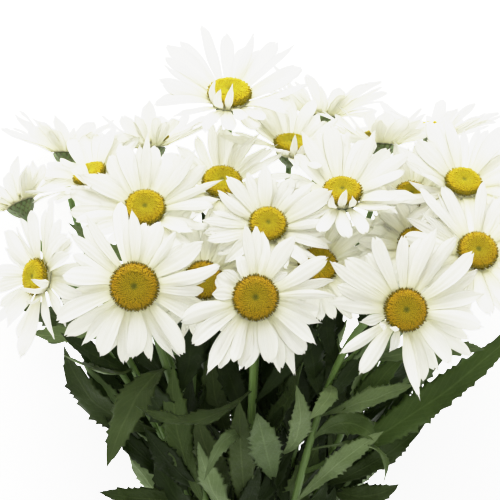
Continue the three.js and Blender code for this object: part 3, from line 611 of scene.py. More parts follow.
def fine_petal(skin, b, petal, rng):
    """One thin petal: shallow ribs along it, a notched tip, edges that wave a little."""
    u = np.linspace(-1, 1, PETAL_COLUMNS)
    s = np.linspace(0, 1, PETAL_ROWS) ** 0.9
    lobes = rng.choice([2, 3, 3])
    notch = 0.5 * (1 + np.cos(pi * (lobes * u + lobes % 2)))
    notch = notch * (1 + 0.6 * np.sin(4 * u + rng.uniform(0, 6)))
    uneven = rng.uniform(0.6, 1.4)
    near_tip = s[:, None] ** 5
    kind = SLIM_PETAL if rng.uniform() < SLIM_SHARE else FULL_PETAL
    drawn = rng.uniform(*kind["drawn"])
    along = s[:, None] * (1 + near_tip * (TIP_LONGER - uneven * NOTCH * notch - drawn * u ** 2))
    centre, side, face = petal_line(b, petal, along)
    outline = {key: rng.uniform(*FULL_PETAL[key]) for key in FOLDED_OUTLINE}
    if kind is SLIM_PETAL:
        outline = {key: rng.uniform(*kind[key]) for key in FOLDED_OUTLINE}
    if petal.get("pointed"):
        outline = FOLDED_OUTLINE
    half = 0.5 * petal["width"] * petal_share(along, **outline) * rng.uniform(*kind["width"])
    arch = rng.uniform(*kind["arch"]) if petal["plain"] else FOLDED_ARCH
    middle = np.sin(pi * np.clip(along, 0, 1))
    centre = centre + side * (half * rng.uniform(-0.3, 0.3) * middle * along)[..., None]
    ribs = -RIB * np.cos(RIBS * pi * u) * smooth(0.02, 0.3, along)
    phase = rng.uniform(0, 2 * pi)
    wave = PETAL_WAVE * np.sin(2 * pi * PETAL_WAVES * along + phase) * u ** 3 * middle
    tip_turn = rng.uniform(*TIP_TURN) * smooth(0.72, 1.05, along) ** 2
    height = half * arch * u ** 2 + ribs + wave + tip_turn
    top = centre + side * (u * half)[..., None] + face * height[..., None]
    thin = PETAL_THIN * (1 - u ** 6) * (1 - 0.4 * np.clip(along, 0, 1))
    bottom = top - face * thin[..., None]
    uv = np.stack([np.broadcast_to(0.5 + 0.5 * u, along.shape), along], -1)
    blade(skin, placed(b, top), placed(b, bottom), uv, rng.uniform(0, 1), along, along)


def rays(name, seed, material):
    """All petals of a bloom, on their ring."""
    b = BLOOMS[name]
    rng = np.random.default_rng(1000 + seed)
    skin = Skin()
    petals = found_petals(name, seed)
    extras_each = (FULL_PETALS - len(petals)) / len(petals)
    for i, petal in enumerate(petals):
        if petal is None:
            continue
        fine_petal(skin, b, petal, rng)
        if petal.get("pointed"):
            fine_petal(skin, b, under(b, petal), rng)
        following = petals[(i + 1) % len(petals)]
        if following is None or not (petal["plain"] and following["plain"]):
            continue
        if i + 1 == len(petals):
            following = dict(following, turn=following["turn"] + 360)
        extras = int((i + 1) * extras_each) - int(i * extras_each)
        for k in range(extras):
            fine_petal(skin, b, between(petal, following, (k + 1) / (extras + 1), rng), rng)
    radius = CORE_SHARE * b.disc
    profile = [(0.2, -CORE_DEPTH), (0.9 * radius, -CORE_DEPTH), (radius, -0.8 * CORE_DEPTH),
               (radius, -0.3), (0.97 * radius, 0), (0.2, 0)]
    lathe(skin, b, profile, 40, 0.5, 0.0)
    piece = skin.piece("rays_" + name, [material], "petal")
    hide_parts("petals_" + name)


# ---- discs

DISC_PROFILE = [(0.0, 0.33), (0.12, 0.345), (0.36, 0.41), (0.55, 0.42), (0.74, 0.37), (0.9, 0.28),
                (1.0, 0.17), (0.99, 0.08), (0.92, 0.0)]  # radius and height, as shares of the radius


def dome(share):
    """Height of the dome at a share of its radius."""
    radius, height = np.array(DISC_PROFILE[:7]).T
    return np.interp(share, radius, height)


def floret(b, share, pitch, turn, rng):
    """Rings of one floret of the dome: a closed bud inside, an open floret with a lobed mouth outside,
    and at the rim one that stands outwards."""
    r = b.disc
    out, _ = way_out(turn)
    slope = (dome(share + 0.02) - dome(share - 0.02)) / 0.04
    normal = unit(UP - out * slope * 0.8)
    first = unit(np.cross(normal, [0.3, 1, 0.1]))
    second = np.cross(normal, first)
    foot = out * share * r * 0.97 + UP * (GAP + dome(share) * r - 0.3)
    opened = share > OPEN_FLORETS + rng.normal(0, 0.05)
    at_rim = share > RIM_FLORETS
    tall = (rng.uniform(0.8, 1.3) if opened else 0.5 + 0.4 * share) * r / LARGEST_DISC
    tall *= rng.uniform(0.9, 1.3) if at_rim else 1
    lean = out * tall * (0.7 if at_rim else 0.2 * opened)
    wide = 0.5 * pitch * (1 if at_rim else 1.12)
    levels = OUTWARD if at_rim else OPEN if opened else BUD
    mouth = 1 + 0.3 * np.cos(3 * angles_round(FLORET_SIDES))
    edge = circle(FLORET_SIDES, first, second)
    rings = []
    for width, up in levels:
        radius = wide * width * (mouth if levels is OPEN and up > 0.9 else np.ones(FLORET_SIDES))
        rings.append(foot + normal * tall * up + lean * up + radius[:, None] * edge)
    tip = foot + normal * tall * (0.8 if opened else 1.04) + lean
    return [*rings, tip + 0.01 * (rings[-1] - rings[-1].mean(0))]


def skirt_floret(b, turn, climb, rng):
    """Rings of one floret that stands out from the side of the disc."""
    out, across = way_out(turn)
    foot = out * (0.93 * b.disc) + UP * rng.uniform(-0.5, 0.6)
    way = (out * rng.uniform(0.7, 1.0) + UP * (climb + rng.uniform(0.1, 0.6))
           + across * rng.uniform(-0.3, 0.3))
    over = unit(np.cross(way, across))
    wide, edge = rng.uniform(0.4, 0.55), circle(FLORET_SIDES, across, over)
    return [foot + way * up * SKIRT_LENGTH + wide * width * edge for width, up in SKIRT_FLORET]


def floret_disc(name, seed, material):
    """A dome packed with florets in spirals, and more florets round its side."""
    b = BLOOMS[name]
    r = b.disc
    rng = np.random.default_rng(2000 + seed)
    skin = Skin()
    profile = [(max(0.02, s) * r * 0.97, GAP + h * r - 0.25 * (s > 0)) for s, h in DISC_PROFILE]
    profile[-1] = (0.2, GAP)
    profile.insert(-1, (0.92 * r, GAP))
    # the dome takes the GROUND value, which the disc material colours darker: painted shade between the
    # florets
    lathe(skin, b, profile, 44, 0.5, GROUND)

    def grow(rings, shade):
        tube(skin, placed(b, np.array(rings)), range(len(rings)), rng.uniform(0, 1), shade)

    count = int(FLORETS * (r / LARGEST_DISC) ** 1.6)
    pitch = r * sqrt(pi / count)
    for i in range(count):
        share = 0.99 * sqrt((i + 0.4) / count)
        turn = radians(GOLDEN_TURN * i) + rng.normal(0, 0.02)
        grow(floret(b, share, pitch, turn, rng), share)
    skirt = round(SKIRT * r / LARGEST_DISC)
    climb = tan(radians(max(0, b.rise)))
    for i in range(skirt):
        turn = 2 * pi * (i + rng.uniform(-0.3, 0.3)) / skirt
        grow(skirt_floret(b, turn, climb, rng), 1.0)
    piece = skin.piece("florets_" + name, [material], "disc")
    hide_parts("disc_" + name)


# ---- stems

def stem_curves(s):
    """Control points of a stem's cut, tied and rising lengths, and of its side stems."""
    x = s.column * BUNDLE_PITCH
    z = TIE_WALL + GAP + STEM_RADIUS + s.row * BUNDLE_RISE
    half = 0.5 * TIED_LENGTH
    cut = -CUT_LENGTH - CUT_UNEVEN * sin(7 * s.column + 5 * s.row)
    point = lambda *p: np.array(p, float)
    tied = [point(x, -half, z), point(x, half, z)]
    lower = [point(CUT_SPREAD * x, cut, z + CUT_RISE * s.row),
             *(point(spread * x, at * cut - half, z) for spread, at in CUT_BENDS), tied[0]]
    first = BLOOMS[s.heads[0]]
    onward = point(FAN_LEAN * first.at[0], FAN_START, FAN_LEAN * first.at[2])
    rising = rising_curve(tied[1], onward, first, s.arch)
    branches = []
    for head in s.heads[1:]:
        start, way = bezier(rising, BRANCH_FROM)
        branches.append(rising_curve(start, way * BRANCH_START, BLOOMS[head]))
    return lower, tied, rising, branches


def rising_curve(start, onward, b, arch=()):
    look = b.axes[2]
    end = b.at - look * (CORE_DEPTH + GAP + CALYX_DEPTH)
    return [start, *(arch or (start + onward, end - look * NECK)), end]


def fine_stem(skin, pieces, radius, rng, swell_at_start=0.0):
    """One stem through the curves given, slightly ridged, with gentle changes of thickness."""
    at, tangent = [], []
    for k, points in enumerate(pieces):
        rows = STEM_ROWS if k == len(pieces) - 1 else STEM_ROWS // 4
        t = np.linspace(0, 1, rows)[(1 if k else 0):]
        p, d = bezier(points, t)
        at.append(p)
        tangent.append(d)
    at, tangent = np.concatenate(at), np.concatenate(tangent)
    run = run_of(np.linalg.norm(np.diff(at, axis=0), axis=1))
    share = run / run[-1]
    phase = rng.uniform(0, 6)
    r = radius * (1 + 0.04 * np.sin(run / 17 + phase) - 0.06 * share + swell_at_start * np.exp(-run / 9))
    angle = angles_round(STEM_SIDES)
    u, v = across_frame(tangent)
    r = r[:, None] * (1 + STEM_RIDGE * (np.arange(STEM_SIDES) % 2 - 0.5))
    rings = (at[:, None] + (r * np.cos(angle))[..., None] * u[:, None]
             + (r * np.sin(angle))[..., None] * v[:, None])
    tube(skin, rings, run, rng.uniform(0, 1), share)
    return at, tangent


def cut_end(skin, at, tangent, radius):
    """The pale cut face of a stem."""
    u, v = across_frame(tangent)
    radii = np.array([radius, 0.97 * radius, 0.6 * radius, 0.05])
    depth = np.array([0.4, 0.0, 0.12, 0.3])
    rings = at + radii[:, None, None] * circle(STEM_SIDES, u, v) + (depth[:, None] * tangent)[:, None]
    tube(skin, rings, np.arange(4), 0.5, 1.0, slot=2)


def calyx(skin, b, rng):
    """The cup behind a head: a smooth bowl, then rows of narrow bracts with dark edges."""
    r = b.disc
    top, middle, foot = (-(CORE_DEPTH + GAP + share * CALYX_DEPTH) for share in (0, 0.5, 1))
    profile = [(STEM_RADIUS * 0.9, foot - 1), (0.34 * r, foot + 1.4), (0.5 * r, foot + 2.7),
               (0.64 * r, middle), (0.77 * r, 0.5 * (middle + top)), (0.83 * r, top - 0.4),
               (0.8 * r, top), (0.2, top)]
    lathe(skin, b, profile, 36, 0.3, 0.25, slot=3)
    radii, heights = np.array(profile[1:6]).T
    t = np.linspace(0, 1, 6)
    u = np.array([-1, -0.5, 0, 0.5, 1])
    uv = np.stack(np.broadcast_arrays(0.5 + 0.5 * u, t[:, None]), -1)
    shade = np.clip(0.35 + 0.9 * np.maximum(np.abs(u) ** 2, t[:, None] ** 3) - 0.3, 0, 1)
    swell = np.sin(pi * np.clip(0.25 + 0.75 * t, 0, 1)) ** 0.8
    for row in range(BRACT_ROWS):
        z = np.minimum(foot + 1.2 + row * BRACT_STEP + t * BRACT_LENGTH, top - 0.1)
        radius = np.interp(z, heights, radii) + 0.25 + 0.35 * t
        half = (1.7 + 0.25 * row) * swell * (r / 10) + 0.05
        for k in range(BRACTS):
            out, side = way_out(2 * pi * (k + 0.5 * (row % 2) + rng.uniform(-0.1, 0.1)) / BRACTS)
            line = out * radius[:, None] + UP * z[:, None]
            grid = line[:, None] + side * (half[:, None] * u)[..., None]
            grid = grid - out * (0.25 * u ** 2)[None, :, None]
            below = grid - out * (0.3 * (1 - u ** 4))[None, :, None]
            blade(skin, placed(b, grid), placed(b, below), uv, rng.uniform(0, 1), shade, 0.2, slot=3)


# ---- leaves

def leaf_share(s):
    return np.maximum(LEAF_STALK * (1 - s), np.sin(pi * np.clip(s, 0, 1) ** LEAF_SKEW))


def leaf_line(lf, rising, bend=(0, 0), share=1):
    """Control points of the line that a leaf follows."""
    foot = bezier(rising, lf.start)[0]
    bow = lf.bow + lf.face * bend[0]
    tip = lf.tip + lf.face * bend[1]
    end = bezier([foot, bow, tip], share)[0]
    return [foot, foot + (bow - foot) * share, end]


def leaf_place(line, face, s):
    centre, tangent = bezier(line, s)
    side = unit(np.cross(face, tangent))
    return centre, side, unit(np.cross(tangent, side))


def branch_off(rising, start, turn):
    """Where something leaves a stem, the way of the stem there, and the way out from it."""
    foot, along = bezier(rising, start)
    u, v = across_frame(along)
    return foot, along, u * cos(turn) + v * sin(turn)


def found_leaf(lf, rising, corners):
    """The line of a leaf as the solid has it, or None where it is left out. The solid always has its
    tip, but a corner at its foot may be lost where it grows out of the stem."""
    found, most = None, -1
    for share in LEAF_SHARES:
        for bend in LEAF_BENDS:
            line = leaf_line(lf, rising, bend, share)
            if not corners.hold([line[2]]):
                continue
            centre, side, normal = leaf_place(line, lf.face, LEAF_FOOT)
            half = 0.5 * lf.width * leaf_share(LEAF_FOOT)
            edges = [centre + way * side * half + normal * LEAF_FOLD * half for way in (-1, 1)]
            held = sum(corners.hold([edge]) for edge in edges)
            if held > most:
                found, most = line, held
    return found


def filler_leaves(index, rising):
    """The leaves of a stem that follow a rule, in the same form as the listed ones."""
    draw = randomness(100 + index)
    leaves = []
    for k in range(FILLERS):
        start = FILLER_FROM + FILLER_STEP * (k + FILLER_UNEVEN * draw())
        turn = radians(FILLER_TURN * (index + k) + FILLER_TURN_UNEVEN * (draw() - 0.5))
        foot, along, out = branch_off(rising, start, turn)
        length = FILLER_LENGTH[0] + FILLER_LENGTH[1] * draw()
        angle = radians(FILLER_ANGLE)
        reach = lambda share, lean: foot + share * length * (along * cos(lean) + out * sin(lean))
        face = along * sin(angle) - out * cos(angle)
        face[2] += FILLER_FACE * (-1 if draw() < 0.5 else 1)
        width = FILLER_WIDTH[0] + FILLER_WIDTH[1] * draw()
        leaves.append(leaf(start, reach(0.5, FILLER_BOW * angle), reach(1, angle), face, width))
    return leaves


def extra_leaves(rising, rng):
    """Small leaves low on a stem, deep in the bunch, in dark greens that are painted shade."""
    leaves = []
    for k in range(EXTRA_LEAVES):
        start = EXTRA_FROM + EXTRA_STEP * (k + rng.uniform(0, 0.8))
        foot, along, out = branch_off(rising, start, pi * (k % 2) + rng.normal(0, 0.5))
        length = rng.uniform(*EXTRA_LENGTH)
        lean = rng.uniform(0.25, 0.6)
        tip = foot + length * (0.88 * along + lean * out)
        bow = foot + 0.5 * length * (0.8 * along + (lean + rng.uniform(-0.1, 0.35)) * out)
        face = np.array([rng.uniform(-0.5, 0.5), rng.uniform(-0.4, 0.4), 1.0])
        leaves.append(leaf(start, bow, tip, face, rng.uniform(*EXTRA_WIDTH), deep=True))
    return leaves


def below_blooms(line):
    """Whether a leaf along a line stays well below the petals of every bloom."""
    points = bezier(line, np.linspace(0.3, 1, 8))[0]
    for b in BLOOMS.values():
        local = (points - b.at) @ b.axes.T
        run = np.hypot(local[:, 0], local[:, 1])
        petals = tan(radians(b.rise - 0.5 * PETAL_CURL)) * np.clip(run - b.disc, 0, None)
        if np.any((run < b.reach) & (local[:, 2] > petals - UNDER_BLOOM)):
            return False
    return True


def fine_leaf(skin, lf, line, rng):
    """One leaf: toothed, folded along its midrib, with waved edges."""
    deep = lf.deep
    u = np.linspace(-1, 1, LEAF_COLUMNS)
    s = np.linspace(0, 1, DEEP_ROWS if deep else LEAF_ROWS)[:, None]
    length = np.linalg.norm(np.diff(bezier(line, np.linspace(0, 1, 20))[0], axis=0), axis=1).sum()
    teeth = max(4, round(LEAF_TEETH * length / LEAF_SAMPLE))
    phase = np.clip((s - LEAF_TEETH_FROM) / (0.97 - LEAF_TEETH_FROM), 0, 1) * teeth
    phase = phase + 0.35 * np.sin(1.7 * phase + rng.uniform(0, 6)) + (0.4 + rng.uniform(0, 0.3)) * (u > 0)
    saw = (phase % 1) ** 2.2 * (0.7 + 0.6 * np.abs(np.sin(2.3 * np.floor(phase) + 9 * lf.width)))
    tooth = LEAF_TOOTH * (saw - 0.3) * smooth(LEAF_TEETH_FROM - 0.02, LEAF_TEETH_FROM + 0.08, s)
    edge = u ** 4
    half = 0.5 * lf.width * leaf_share(s) * (1 + tooth * edge)
    centre, side, normal = leaf_place(line, lf.face, s[:, 0])
    most = DEEP_ROLL if deep else LEAF_ROLL
    roll = radians(rng.uniform(-most, most)) * smooth(0.1, 1, s)
    side, normal = (side * np.cos(roll) + normal * np.sin(roll),
                    normal * np.cos(roll) - side * np.sin(roll))
    centre, side, normal = centre[:, None], side[:, None], normal[:, None]
    swing = rng.uniform(0, 2 * pi)
    wave = LEAF_WAVE * np.sin(2 * pi * 2.3 * s + swing + 1.3 * np.sign(u)) * edge * smooth(0.1, 0.4, s)
    veins = LEAF_VEIN * np.sin(2 * pi * (7 * (s - 0.16 * np.abs(u)) + 0.5 * np.sin(9 * s + swing)))
    veins = veins * smooth(0.05, 0.3, np.abs(u)) * (1 - edge)
    cockle = LEAF_COCKLE * np.sin(2 * pi * 3.1 * s + 2 * swing + 2 * u)
    height = half * (LEAF_FOLD * np.abs(u) ** 1.3 + wave + veins + cockle)
    top = centre + side * (u * half)[..., None] + normal * height[..., None]
    rib = np.exp(-(u / 0.12) ** 2) * 0.35 * (1 - s)
    thin = (LEAF_THIN + rib) * (1 - u ** 8)
    bottom = top - normal * thin[..., None]
    uv = np.stack(np.broadcast_arrays(0.5 + 0.5 * u, s * length / LEAF_SAMPLE), -1)
    # leaves deep in the bunch get near-black tones: painted shade
    tone = rng.uniform(*(DEEP_SHADE_TONES if deep else LEAF_TONES))
    blade(skin, top, bottom, uv, lf.tone or tone, PALE_SHADE * lf.pale, 1.0, slot=1)


def greens(name, index, materials):
    """A stem with its side stem, the cups of its heads, and its leaves."""
    s = STEMS[name]
    rng = np.random.default_rng(3000 + index)
    skin = Skin()
    lower, tied, rising, branches = stem_curves(s)
    at, tangent = fine_stem(skin, [lower, tied, rising], STEM_RADIUS, rng)
    cut_end(skin, at[0] - 0.4 * tangent[0], tangent[0], STEM_RADIUS)
    for branch in branches:
        fine_stem(skin, [branch], SIDE_STEM_RADIUS, rng, BRANCH_SWELL)
    for head in s.heads:
        calyx(skin, BLOOMS[head], rng)
    corners = Corners("stem_" + name)
    for lf in [lf for lf in s.leaves if not lf.deep] + filler_leaves(index, rising):
        line = found_leaf(lf, rising, corners)
        if line is not None:
            fine_leaf(skin, lf, line, rng)
    for lf in extra_leaves(rising, rng) + [lf for lf in s.leaves if lf.deep]:
        line = leaf_line(lf, rising)
        if min(p[2] for p in line) > DEEP_LOWEST and below_blooms(line):
            fine_leaf(skin, lf, line, rng)
    piece = skin.piece("greens_" + name, materials, "green")
    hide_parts("stem_" + name)


# ---- the band

def band(material):
    """The band round the stems, wound from flat strands."""
    half_wide = 2 * BUNDLE_PITCH + STEM_RADIUS + GAP + TIE_WALL
    height = 2 * (TIE_WALL + GAP + STEM_RADIUS) + 2 * BUNDLE_RISE

    def outline(inset, radius):
        points = []
        for (cx, cz, start) in ((1, 0, -90), (1, 1, 0), (0, 1, 90), (0, 0, 180)):
            x = (half_wide - inset - radius) * (1 if cx else -1)
            z = height - inset - radius if cz else inset + radius
            for angle in np.radians(np.linspace(start, start + 90, 9)):
                points.append((x + radius * cos(angle), z + radius * sin(angle)))
        return np.array(points)

    outer, inner = outline(0.0, TIE_CORNER), outline(TIE_WALL - 0.1, TIE_CORNER - TIE_WALL)
    y = np.linspace(-0.5, 0.5, 61) * TIE_WIDTH
    strand = np.abs(np.sin(pi * (y / TIE_WIDTH + 0.5) * BAND_STRANDS)) ** 0.5
    inward = unit(inner.mean(0) - outer)
    skin = Skin()
    rings = []
    for place, lift in zip(y, strand):
        ring = outer + inward * (STRAND_DEPTH * (1 - lift) + 0.02)
        rings.append([(px, place, pz) for px, pz in ring])
    rings += [[(px, place, pz) for px, pz in inner] for place in y[::-1]]
    rings = np.array(rings)
    rows, around = rings.shape[:2]
    points = rings.reshape(-1, 3)
    closing = [[(rows - 1) * around + j, (rows - 1) * around + (j + 1) % around, (j + 1) % around, j]
               for j in range(around)]
    faces, _ = outward(points, np.concatenate([grid_faces(rows, around, True), closing]), [])
    run = np.linspace(0, 1, around)
    uv = np.stack(np.broadcast_arrays(run, points[::around, 1][:, None] / TIE_WIDTH), -1).reshape(-1, 2)
    skin.add(points, faces, [], uv, 0.5, 0.5)
    piece = skin.piece("band", [material], "tie")
    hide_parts("tie")


# ---- materials

class Look:
    """A material and the nodes that make it. A grey may be given as one number."""

    def __init__(self, name):
        self.material = bpy.data.materials.new(name)
        self.material.use_nodes = True
        self.tree = self.material.node_tree
        self.tree.nodes.clear()

    def add(self, kind, inputs, **settings):
        """A node with its settings, and its inputs set to values or joined to other nodes."""
        node = self.tree.nodes.new("ShaderNode" + kind)
        for key, value in settings.items():
            setattr(node, key, value)
        for key, value in inputs.items():
            socket = node.inputs[key]
            if isinstance(value, bpy.types.NodeSocket):
                self.tree.links.new(value, socket)
            else:
                socket.default_value = (*value, 1.0) if socket.type == "RGBA" else value
        return node

    def number(self, operation, a, b=0.0):
        return self.add("Math", {0: a, 1: b}, operation=operation).outputs[0]

    def attribute(self, name):
        return self.add("Attribute", {}, attribute_name=name).outputs["Fac"]

    def ramp(self, value, *stops):
        """A colour ramp of (place, colour) stops."""
        node = self.add("ValToRGB", {"Fac": value})
        elements = node.color_ramp.elements
        while len(elements) < len(stops):
            elements.new(0.5)
        for element, (place, colour) in zip(elements, stops):
            element.position = place
            element.color = (*np.broadcast_to(colour, 3), 1.0)
        return node.outputs["Color"]

    def mix(self, factor, a, b, blend="MIX"):
        inputs = {0: factor, 6: a, 7: b}
        return self.add("Mix", inputs, data_type="RGBA", blend_type=blend).outputs[2]

    def noise(self, scale, detail=3.0, rough=0.55):
        """Noise over the object, or along and across the patches if each direction has a scale."""
        if np.ndim(scale):
            places = self.add("Mapping", {"Vector": self.places("UV"), "Scale": scale}).outputs["Vector"]
            scale = 1.0
        else:
            places = self.places("Object")
        inputs = {"Vector": places, "Scale": scale, "Detail": detail, "Roughness": rough}
        return self.add("TexNoise", inputs).outputs["Fac"]

    def places(self, kind):
        return self.add("TexCoord", {}).outputs[kind]

    def surface(self, colour, roughness, height=None, bump=0, depth=0, through=None, share=0,
                specular=0.5, glow=0):
        """The shader: a principled surface, and light that comes through a thin blade from behind."""
        inputs = {"Base Color": colour, "Roughness": roughness, "Specular IOR Level": specular,
                  "Emission Color": (1, 1, 1), "Emission Strength": glow}
        if height is not None:
            relief = {"Strength": bump, "Distance": depth, "Height": height}
            inputs["Normal"] = self.add("Bump", relief).outputs["Normal"]
        shader = self.add("BsdfPrincipled", inputs).outputs["BSDF"]
        if through is not None:
            light = self.add("BsdfTranslucent", {"Color": through}).outputs["BSDF"]
            shader = self.add("MixShader", {0: share, 1: shader, 2: light}).outputs[0]
        self.add("OutputMaterial", {"Surface": shader})
        return self.material


def petal_material():
    """White, creamy green at the root, with fine grey lines along the petal: its veins, and painted shade
    in its fine grooves.
    """
    look = Look("petal_white")
    lines = look.noise((20, 1.1, 1), 4.0, 0.65)
    white = look.mix(look.attribute("tone"), (0.90, 0.90, 0.855), (0.955, 0.955, 0.93))
    # the grey lines are partly the petal's veins and partly painted shade in its fine grooves
    lined = look.mix(look.ramp(lines, (0.38, 0.7), (0.62, 0)), white, (0.70, 0.70, 0.655))
    root = look.ramp(look.attribute("shade"), (0.0, 0.9), (0.12, 0.55), (0.3, 0.2), (0.5, 0))
    colour = look.mix(root, lined, (0.84, 0.82, 0.52))
    return look.surface(colour, 0.6, height=lines, bump=0.35, depth=0.0005,
                        through=(0.98, 0.975, 0.895), share=0.52, specular=0.2)


def disc_material(fresh):
    """Gold florets round a greener middle: mustard where old, lemon where fresh, with a darker ground
    between the florets that is painted shade in the gaps.
    """
    look = Look(f"disc_gold_{round(10 * fresh)}")
    blend = lambda old, new: tuple(o + (n - o) * fresh for o, n in zip(old, new))
    middle = blend((0.10, 0.12, 0.008), (0.24, 0.25, 0.012))
    inner = blend((0.39, 0.305, 0.005), (0.51, 0.44, 0.008))
    outer = blend((0.455, 0.29, 0.003), (0.60, 0.465, 0.007))
    rim = blend((0.16, 0.13, 0.010), (0.26, 0.23, 0.012))
    # the ground between the florets: painted shade in the gaps
    ground = blend((0.22, 0.14, 0.004), (0.38, 0.29, 0.007))
    stops = [(0.0, middle), (0.07, middle), (0.2, inner), (0.45, inner), (0.88, outer), (0.97, rim)]
    stops = [(place / GROUND, colour) for place, colour in stops] + [(1.0, ground)]
    base = look.ramp(look.number("DIVIDE", look.attribute("shade"), GROUND), *stops)
    speckle = look.noise(1400.0, 2.0)
    varied = look.mix(look.attribute("tone"), (0.9, 0.88, 0.8), (1.08, 1.07, 1.0))
    dotted = look.ramp(speckle, (0.3, 0.86), (0.7, 1))
    colour = look.mix(1.0, look.mix(1.0, base, varied, "MULTIPLY"), dotted, "MULTIPLY")
    return look.surface(colour, 0.7, height=speckle, bump=0.5, depth=0.0003, specular=0.25)


def stem_material():
    """Fresh green, paler along fine ridges, darker in patches."""
    look = Look("stem_green")
    ridges, patches = look.noise((26, 0.03, 1)), look.noise(24.0, 4.0)
    base = look.mix(look.attribute("tone"), (0.070, 0.135, 0.022), (0.125, 0.22, 0.040))
    darker = look.mix(look.ramp(patches, (0.35, 0.7), (0.65, 0)), base, (0.06, 0.10, 0.025))
    colour = look.mix(look.ramp(ridges, (0.4, 0), (0.7, 0.5)), darker, (0.18, 0.28, 0.07))
    return look.surface(colour, 0.45, height=ridges, bump=0.6, depth=0.0005, specular=0.4)


def leaf_material():
    """Dark green above, grey green below, with a pale midrib and side veins; near black on the leaves
    deep in the bunch, as painted shade.
    """
    look = Look("leaf_green")
    split = look.add("SeparateXYZ", {0: look.places("UV")})
    off = look.number("ABSOLUTE", look.number("SUBTRACT", split.outputs[0], 0.5))
    rib = look.ramp(off, (0.0, 0.28), (0.02, 0.18), (0.045, 0))
    patches, rough, fine = look.noise(42.0, 5.0, 0.6), look.noise(170.0, 4.0, 0.6), look.noise(900.0)
    climb = look.number("SUBTRACT", split.outputs[1], look.number("MULTIPLY", off, 0.55))
    climb = look.number("ADD", climb, look.number("MULTIPLY", patches, 0.05))
    teeth = look.number("SINE", look.number("MULTIPLY", climb, 36.0))
    teeth = look.number("POWER", look.number("ABSOLUTE", teeth), 12.0)
    pale = look.mix(1.0, rib, look.ramp(teeth, (0.3, 0), (0.95, 0.09)), "ADD")
    tone = look.attribute("tone")
    # tones up to 0.3, which only the leaves deep in the bunch take, are near black: painted shade
    above = look.ramp(tone, (0.0, (0.012, 0.021, 0.004)), (0.3, (0.022, 0.037, 0.009)),
                      (0.9, (0.065, 0.095, 0.028)), (1.0, (0.075, 0.120, 0.030)))
    below = look.ramp(tone, (0.0, (0.03, 0.045, 0.015)), (0.3, (0.10, 0.15, 0.055)),
                      (1.0, (0.19, 0.26, 0.105)))
    side = look.mix(look.attribute("shade"), above, below)
    dark = look.mix(1.0, side, (0.55, 0.55, 0.55), "MULTIPLY")
    mottled = look.mix(look.ramp(patches, (0.35, 0.45), (0.62, 0)), side, dark)
    colour = look.mix(pale, mottled, look.mix(1.0, side, (2.4, 2.2, 2.6), "MULTIPLY"))
    height = look.number("ADD", look.number("MULTIPLY", fine, 0.3), look.number("MULTIPLY", rough, 2.0))
    height = look.number("ADD", height, pale)
    return look.surface(colour, 0.44, height=height, bump=0.6, depth=0.0010,
                        through=(0.10, 0.17, 0.03), share=0.08, specular=0.1)


def cut_material():
    """The pale, pithy face of a cut stem."""
    look = Look("cut_pith")
    grain = look.noise(2600.0)
    colour = look.ramp(grain, (0.3, (0.34, 0.38, 0.17)), (0.7, (0.55, 0.56, 0.33)))
    return look.surface(colour, 0.6, height=grain, bump=0.5, depth=0.0003)


def cup_material():
    """Green bracts with brown, papery edges."""
    look = Look("cup_green")
    lines = look.noise((9, 1.2, 1))
    green = look.mix(look.attribute("tone"), (0.075, 0.13, 0.035), (0.13, 0.19, 0.055))
    lined = look.mix(look.ramp(lines, (0.4, 0), (0.7, 0.5)), green, (0.2, 0.26, 0.09))
    edge = look.ramp(look.attribute("shade"), (0.45, 0), (0.9, 0.85))
    colour = look.mix(edge, lined, (0.10, 0.06, 0.025))
    return look.surface(colour, 0.55, height=lines, bump=0.5, depth=0.0004)


def band_material():
    """Natural strands, straw coloured, wound round the stems."""
    look = Look("band_straw")
    strands, fibres = look.noise((3, 60, 1), 5.0, 0.65), look.noise((14, 260, 1), 2.0)
    colour = look.ramp(strands, (0.3, (0.26, 0.15, 0.055)), (0.5, (0.46, 0.3, 0.13)),
                       (0.72, (0.62, 0.45, 0.22)))
    relief = look.number("ADD", strands, fibres)
    return look.surface(colour, 0.75, height=relief, bump=0.6, depth=0.0005)


def floor_material():
    """Pale studio paper that gives back a little light, so that shadows on it stay soft."""
    look = Look("floor_paper")
    colour = look.ramp(look.noise(60.0), (0.3, 0.90), (0.7, 0.92))
    return look.surface(colour, 0.9, glow=FLOOR_GLOW)


# ---- camera, light and floor

CAMERA_AT = (0.0, 260.0, 1320.0)  # looks straight down on the bunch, heads at the top of the picture
FRAME_WIDE = 280.0  # what the picture takes in, at 1200 mm from the camera
FRAME_FROM = 1200.0
FILM_WIDE = 36.0
FLOOR_SIDE = 6000.0
FLOOR_GLOW = 1.7
SKY = 0.86
# The name, place, side and power of each lamp, and the point that all of them face.
LAMPS = (("key", (-300, 2200, 1150), 1800, 55), ("fill", (500, -300, 1500), 1200, 1))
LAMPS_AIM = (0, 250, 60)
RESPONSE = ((0, 0), (0.25, 0.25), (0.45, 0.5), (0.7, 0.74), (1.0, 0.88), (1.5, 0.92), (2.2, 0.945),
            (2.8, 1.0))  # a camera's soft whites


def set_camera():
    data = bpy.data.cameras.new("camera")
    data.sensor_fit = "HORIZONTAL"
    data.sensor_width = FILM_WIDE
    data.lens = FILM_WIDE * FRAME_FROM / FRAME_WIDE
    data.clip_start, data.clip_end = 0.05, 20
    bpy.context.scene.camera = link("camera", data, CAMERA_AT)


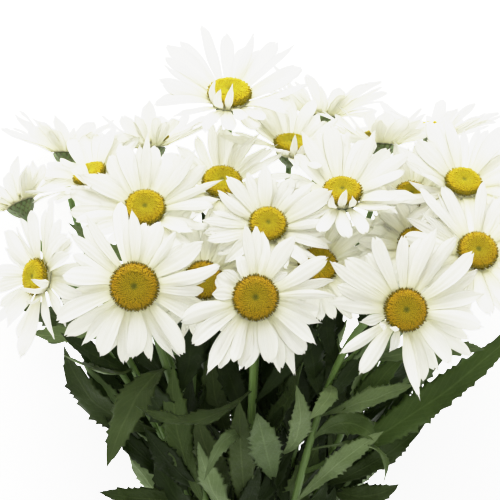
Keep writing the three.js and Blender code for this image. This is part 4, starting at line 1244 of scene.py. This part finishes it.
def set_response(view):
    """A plain view with a soft shoulder for the whites."""
    view.view_transform = "Standard"
    view.use_curve_mapping = True
    response = view.curve_mapping
    response.clip_max_x = RESPONSE[-1][0]
    response.clip_max_y = 1.0
    points = response.curves[3].points
    points[1].location = RESPONSE[-1]
    for place in RESPONSE[1:-1]:
        points.new(*place)
    for point in points:
        point.handle_type = "VECTOR" if point.location[0] <= RESPONSE[1][0] else "AUTO_CLAMPED"
    response.update()


def set_light():
    """An even white room, with one wide lamp beyond the heads and above them, and a faint one."""
    world = bpy.data.worlds.new("room")
    world.use_nodes = True
    sky = world.node_tree.nodes["Background"].inputs
    sky["Color"].default_value = (1, 1, 1, 1)
    sky["Strength"].default_value = SKY
    bpy.context.scene.world = world
    for name, at, side, power in LAMPS:
        lamp = bpy.data.lights.new(name, "AREA")
        lamp.size = side * MM
        lamp.energy = power
        obj = link(name, lamp, at)
        aim = Vector([c * MM for c in LAMPS_AIM]) - obj.location
        obj.rotation_euler = aim.to_track_quat("-Z", "Y").to_euler()


def set_floor():
    half = 0.5 * FLOOR_SIDE * MM
    mesh = bpy.data.meshes.new("floor")
    corners = [(-half, -half, 0), (half, -half, 0), (half, half, 0), (-half, half, 0)]
    mesh.from_pydata(corners, [], [(0, 1, 2, 3)])
    mesh.materials.append(floor_material())
    link("floor", mesh)


# ---- the bunch

DISC_LEVELS = 4  # steps from an old disc to a fresh one
OLD_UP_TO = 240  # discs no further up than this are old
FRESHER_OVER = 85  # and turn fresh over this distance
FRESH_LOW = {"left_low": 0.75}


def freshness(name):
    up = BLOOMS[name].at[1]
    return FRESH_LOW.get(name, float(np.clip((up - OLD_UP_TO) / FRESHER_OVER, 0, 1)))


set_camera()
set_response(bpy.context.scene.view_settings)
set_light()
set_floor()

petal_white = petal_material()
disc_gold = [disc_material(level / DISC_LEVELS) for level in range(DISC_LEVELS + 1)]
green_materials = [stem_material(), leaf_material(), cut_material(), cup_material()]

for seed, name in enumerate(BLOOMS, 1):
    rays(name, seed, petal_white)
    floret_disc(name, seed, disc_gold[round(DISC_LEVELS * freshness(name))])
for index, name in enumerate(STEMS):
    greens(name, index, green_materials)
band(band_material())
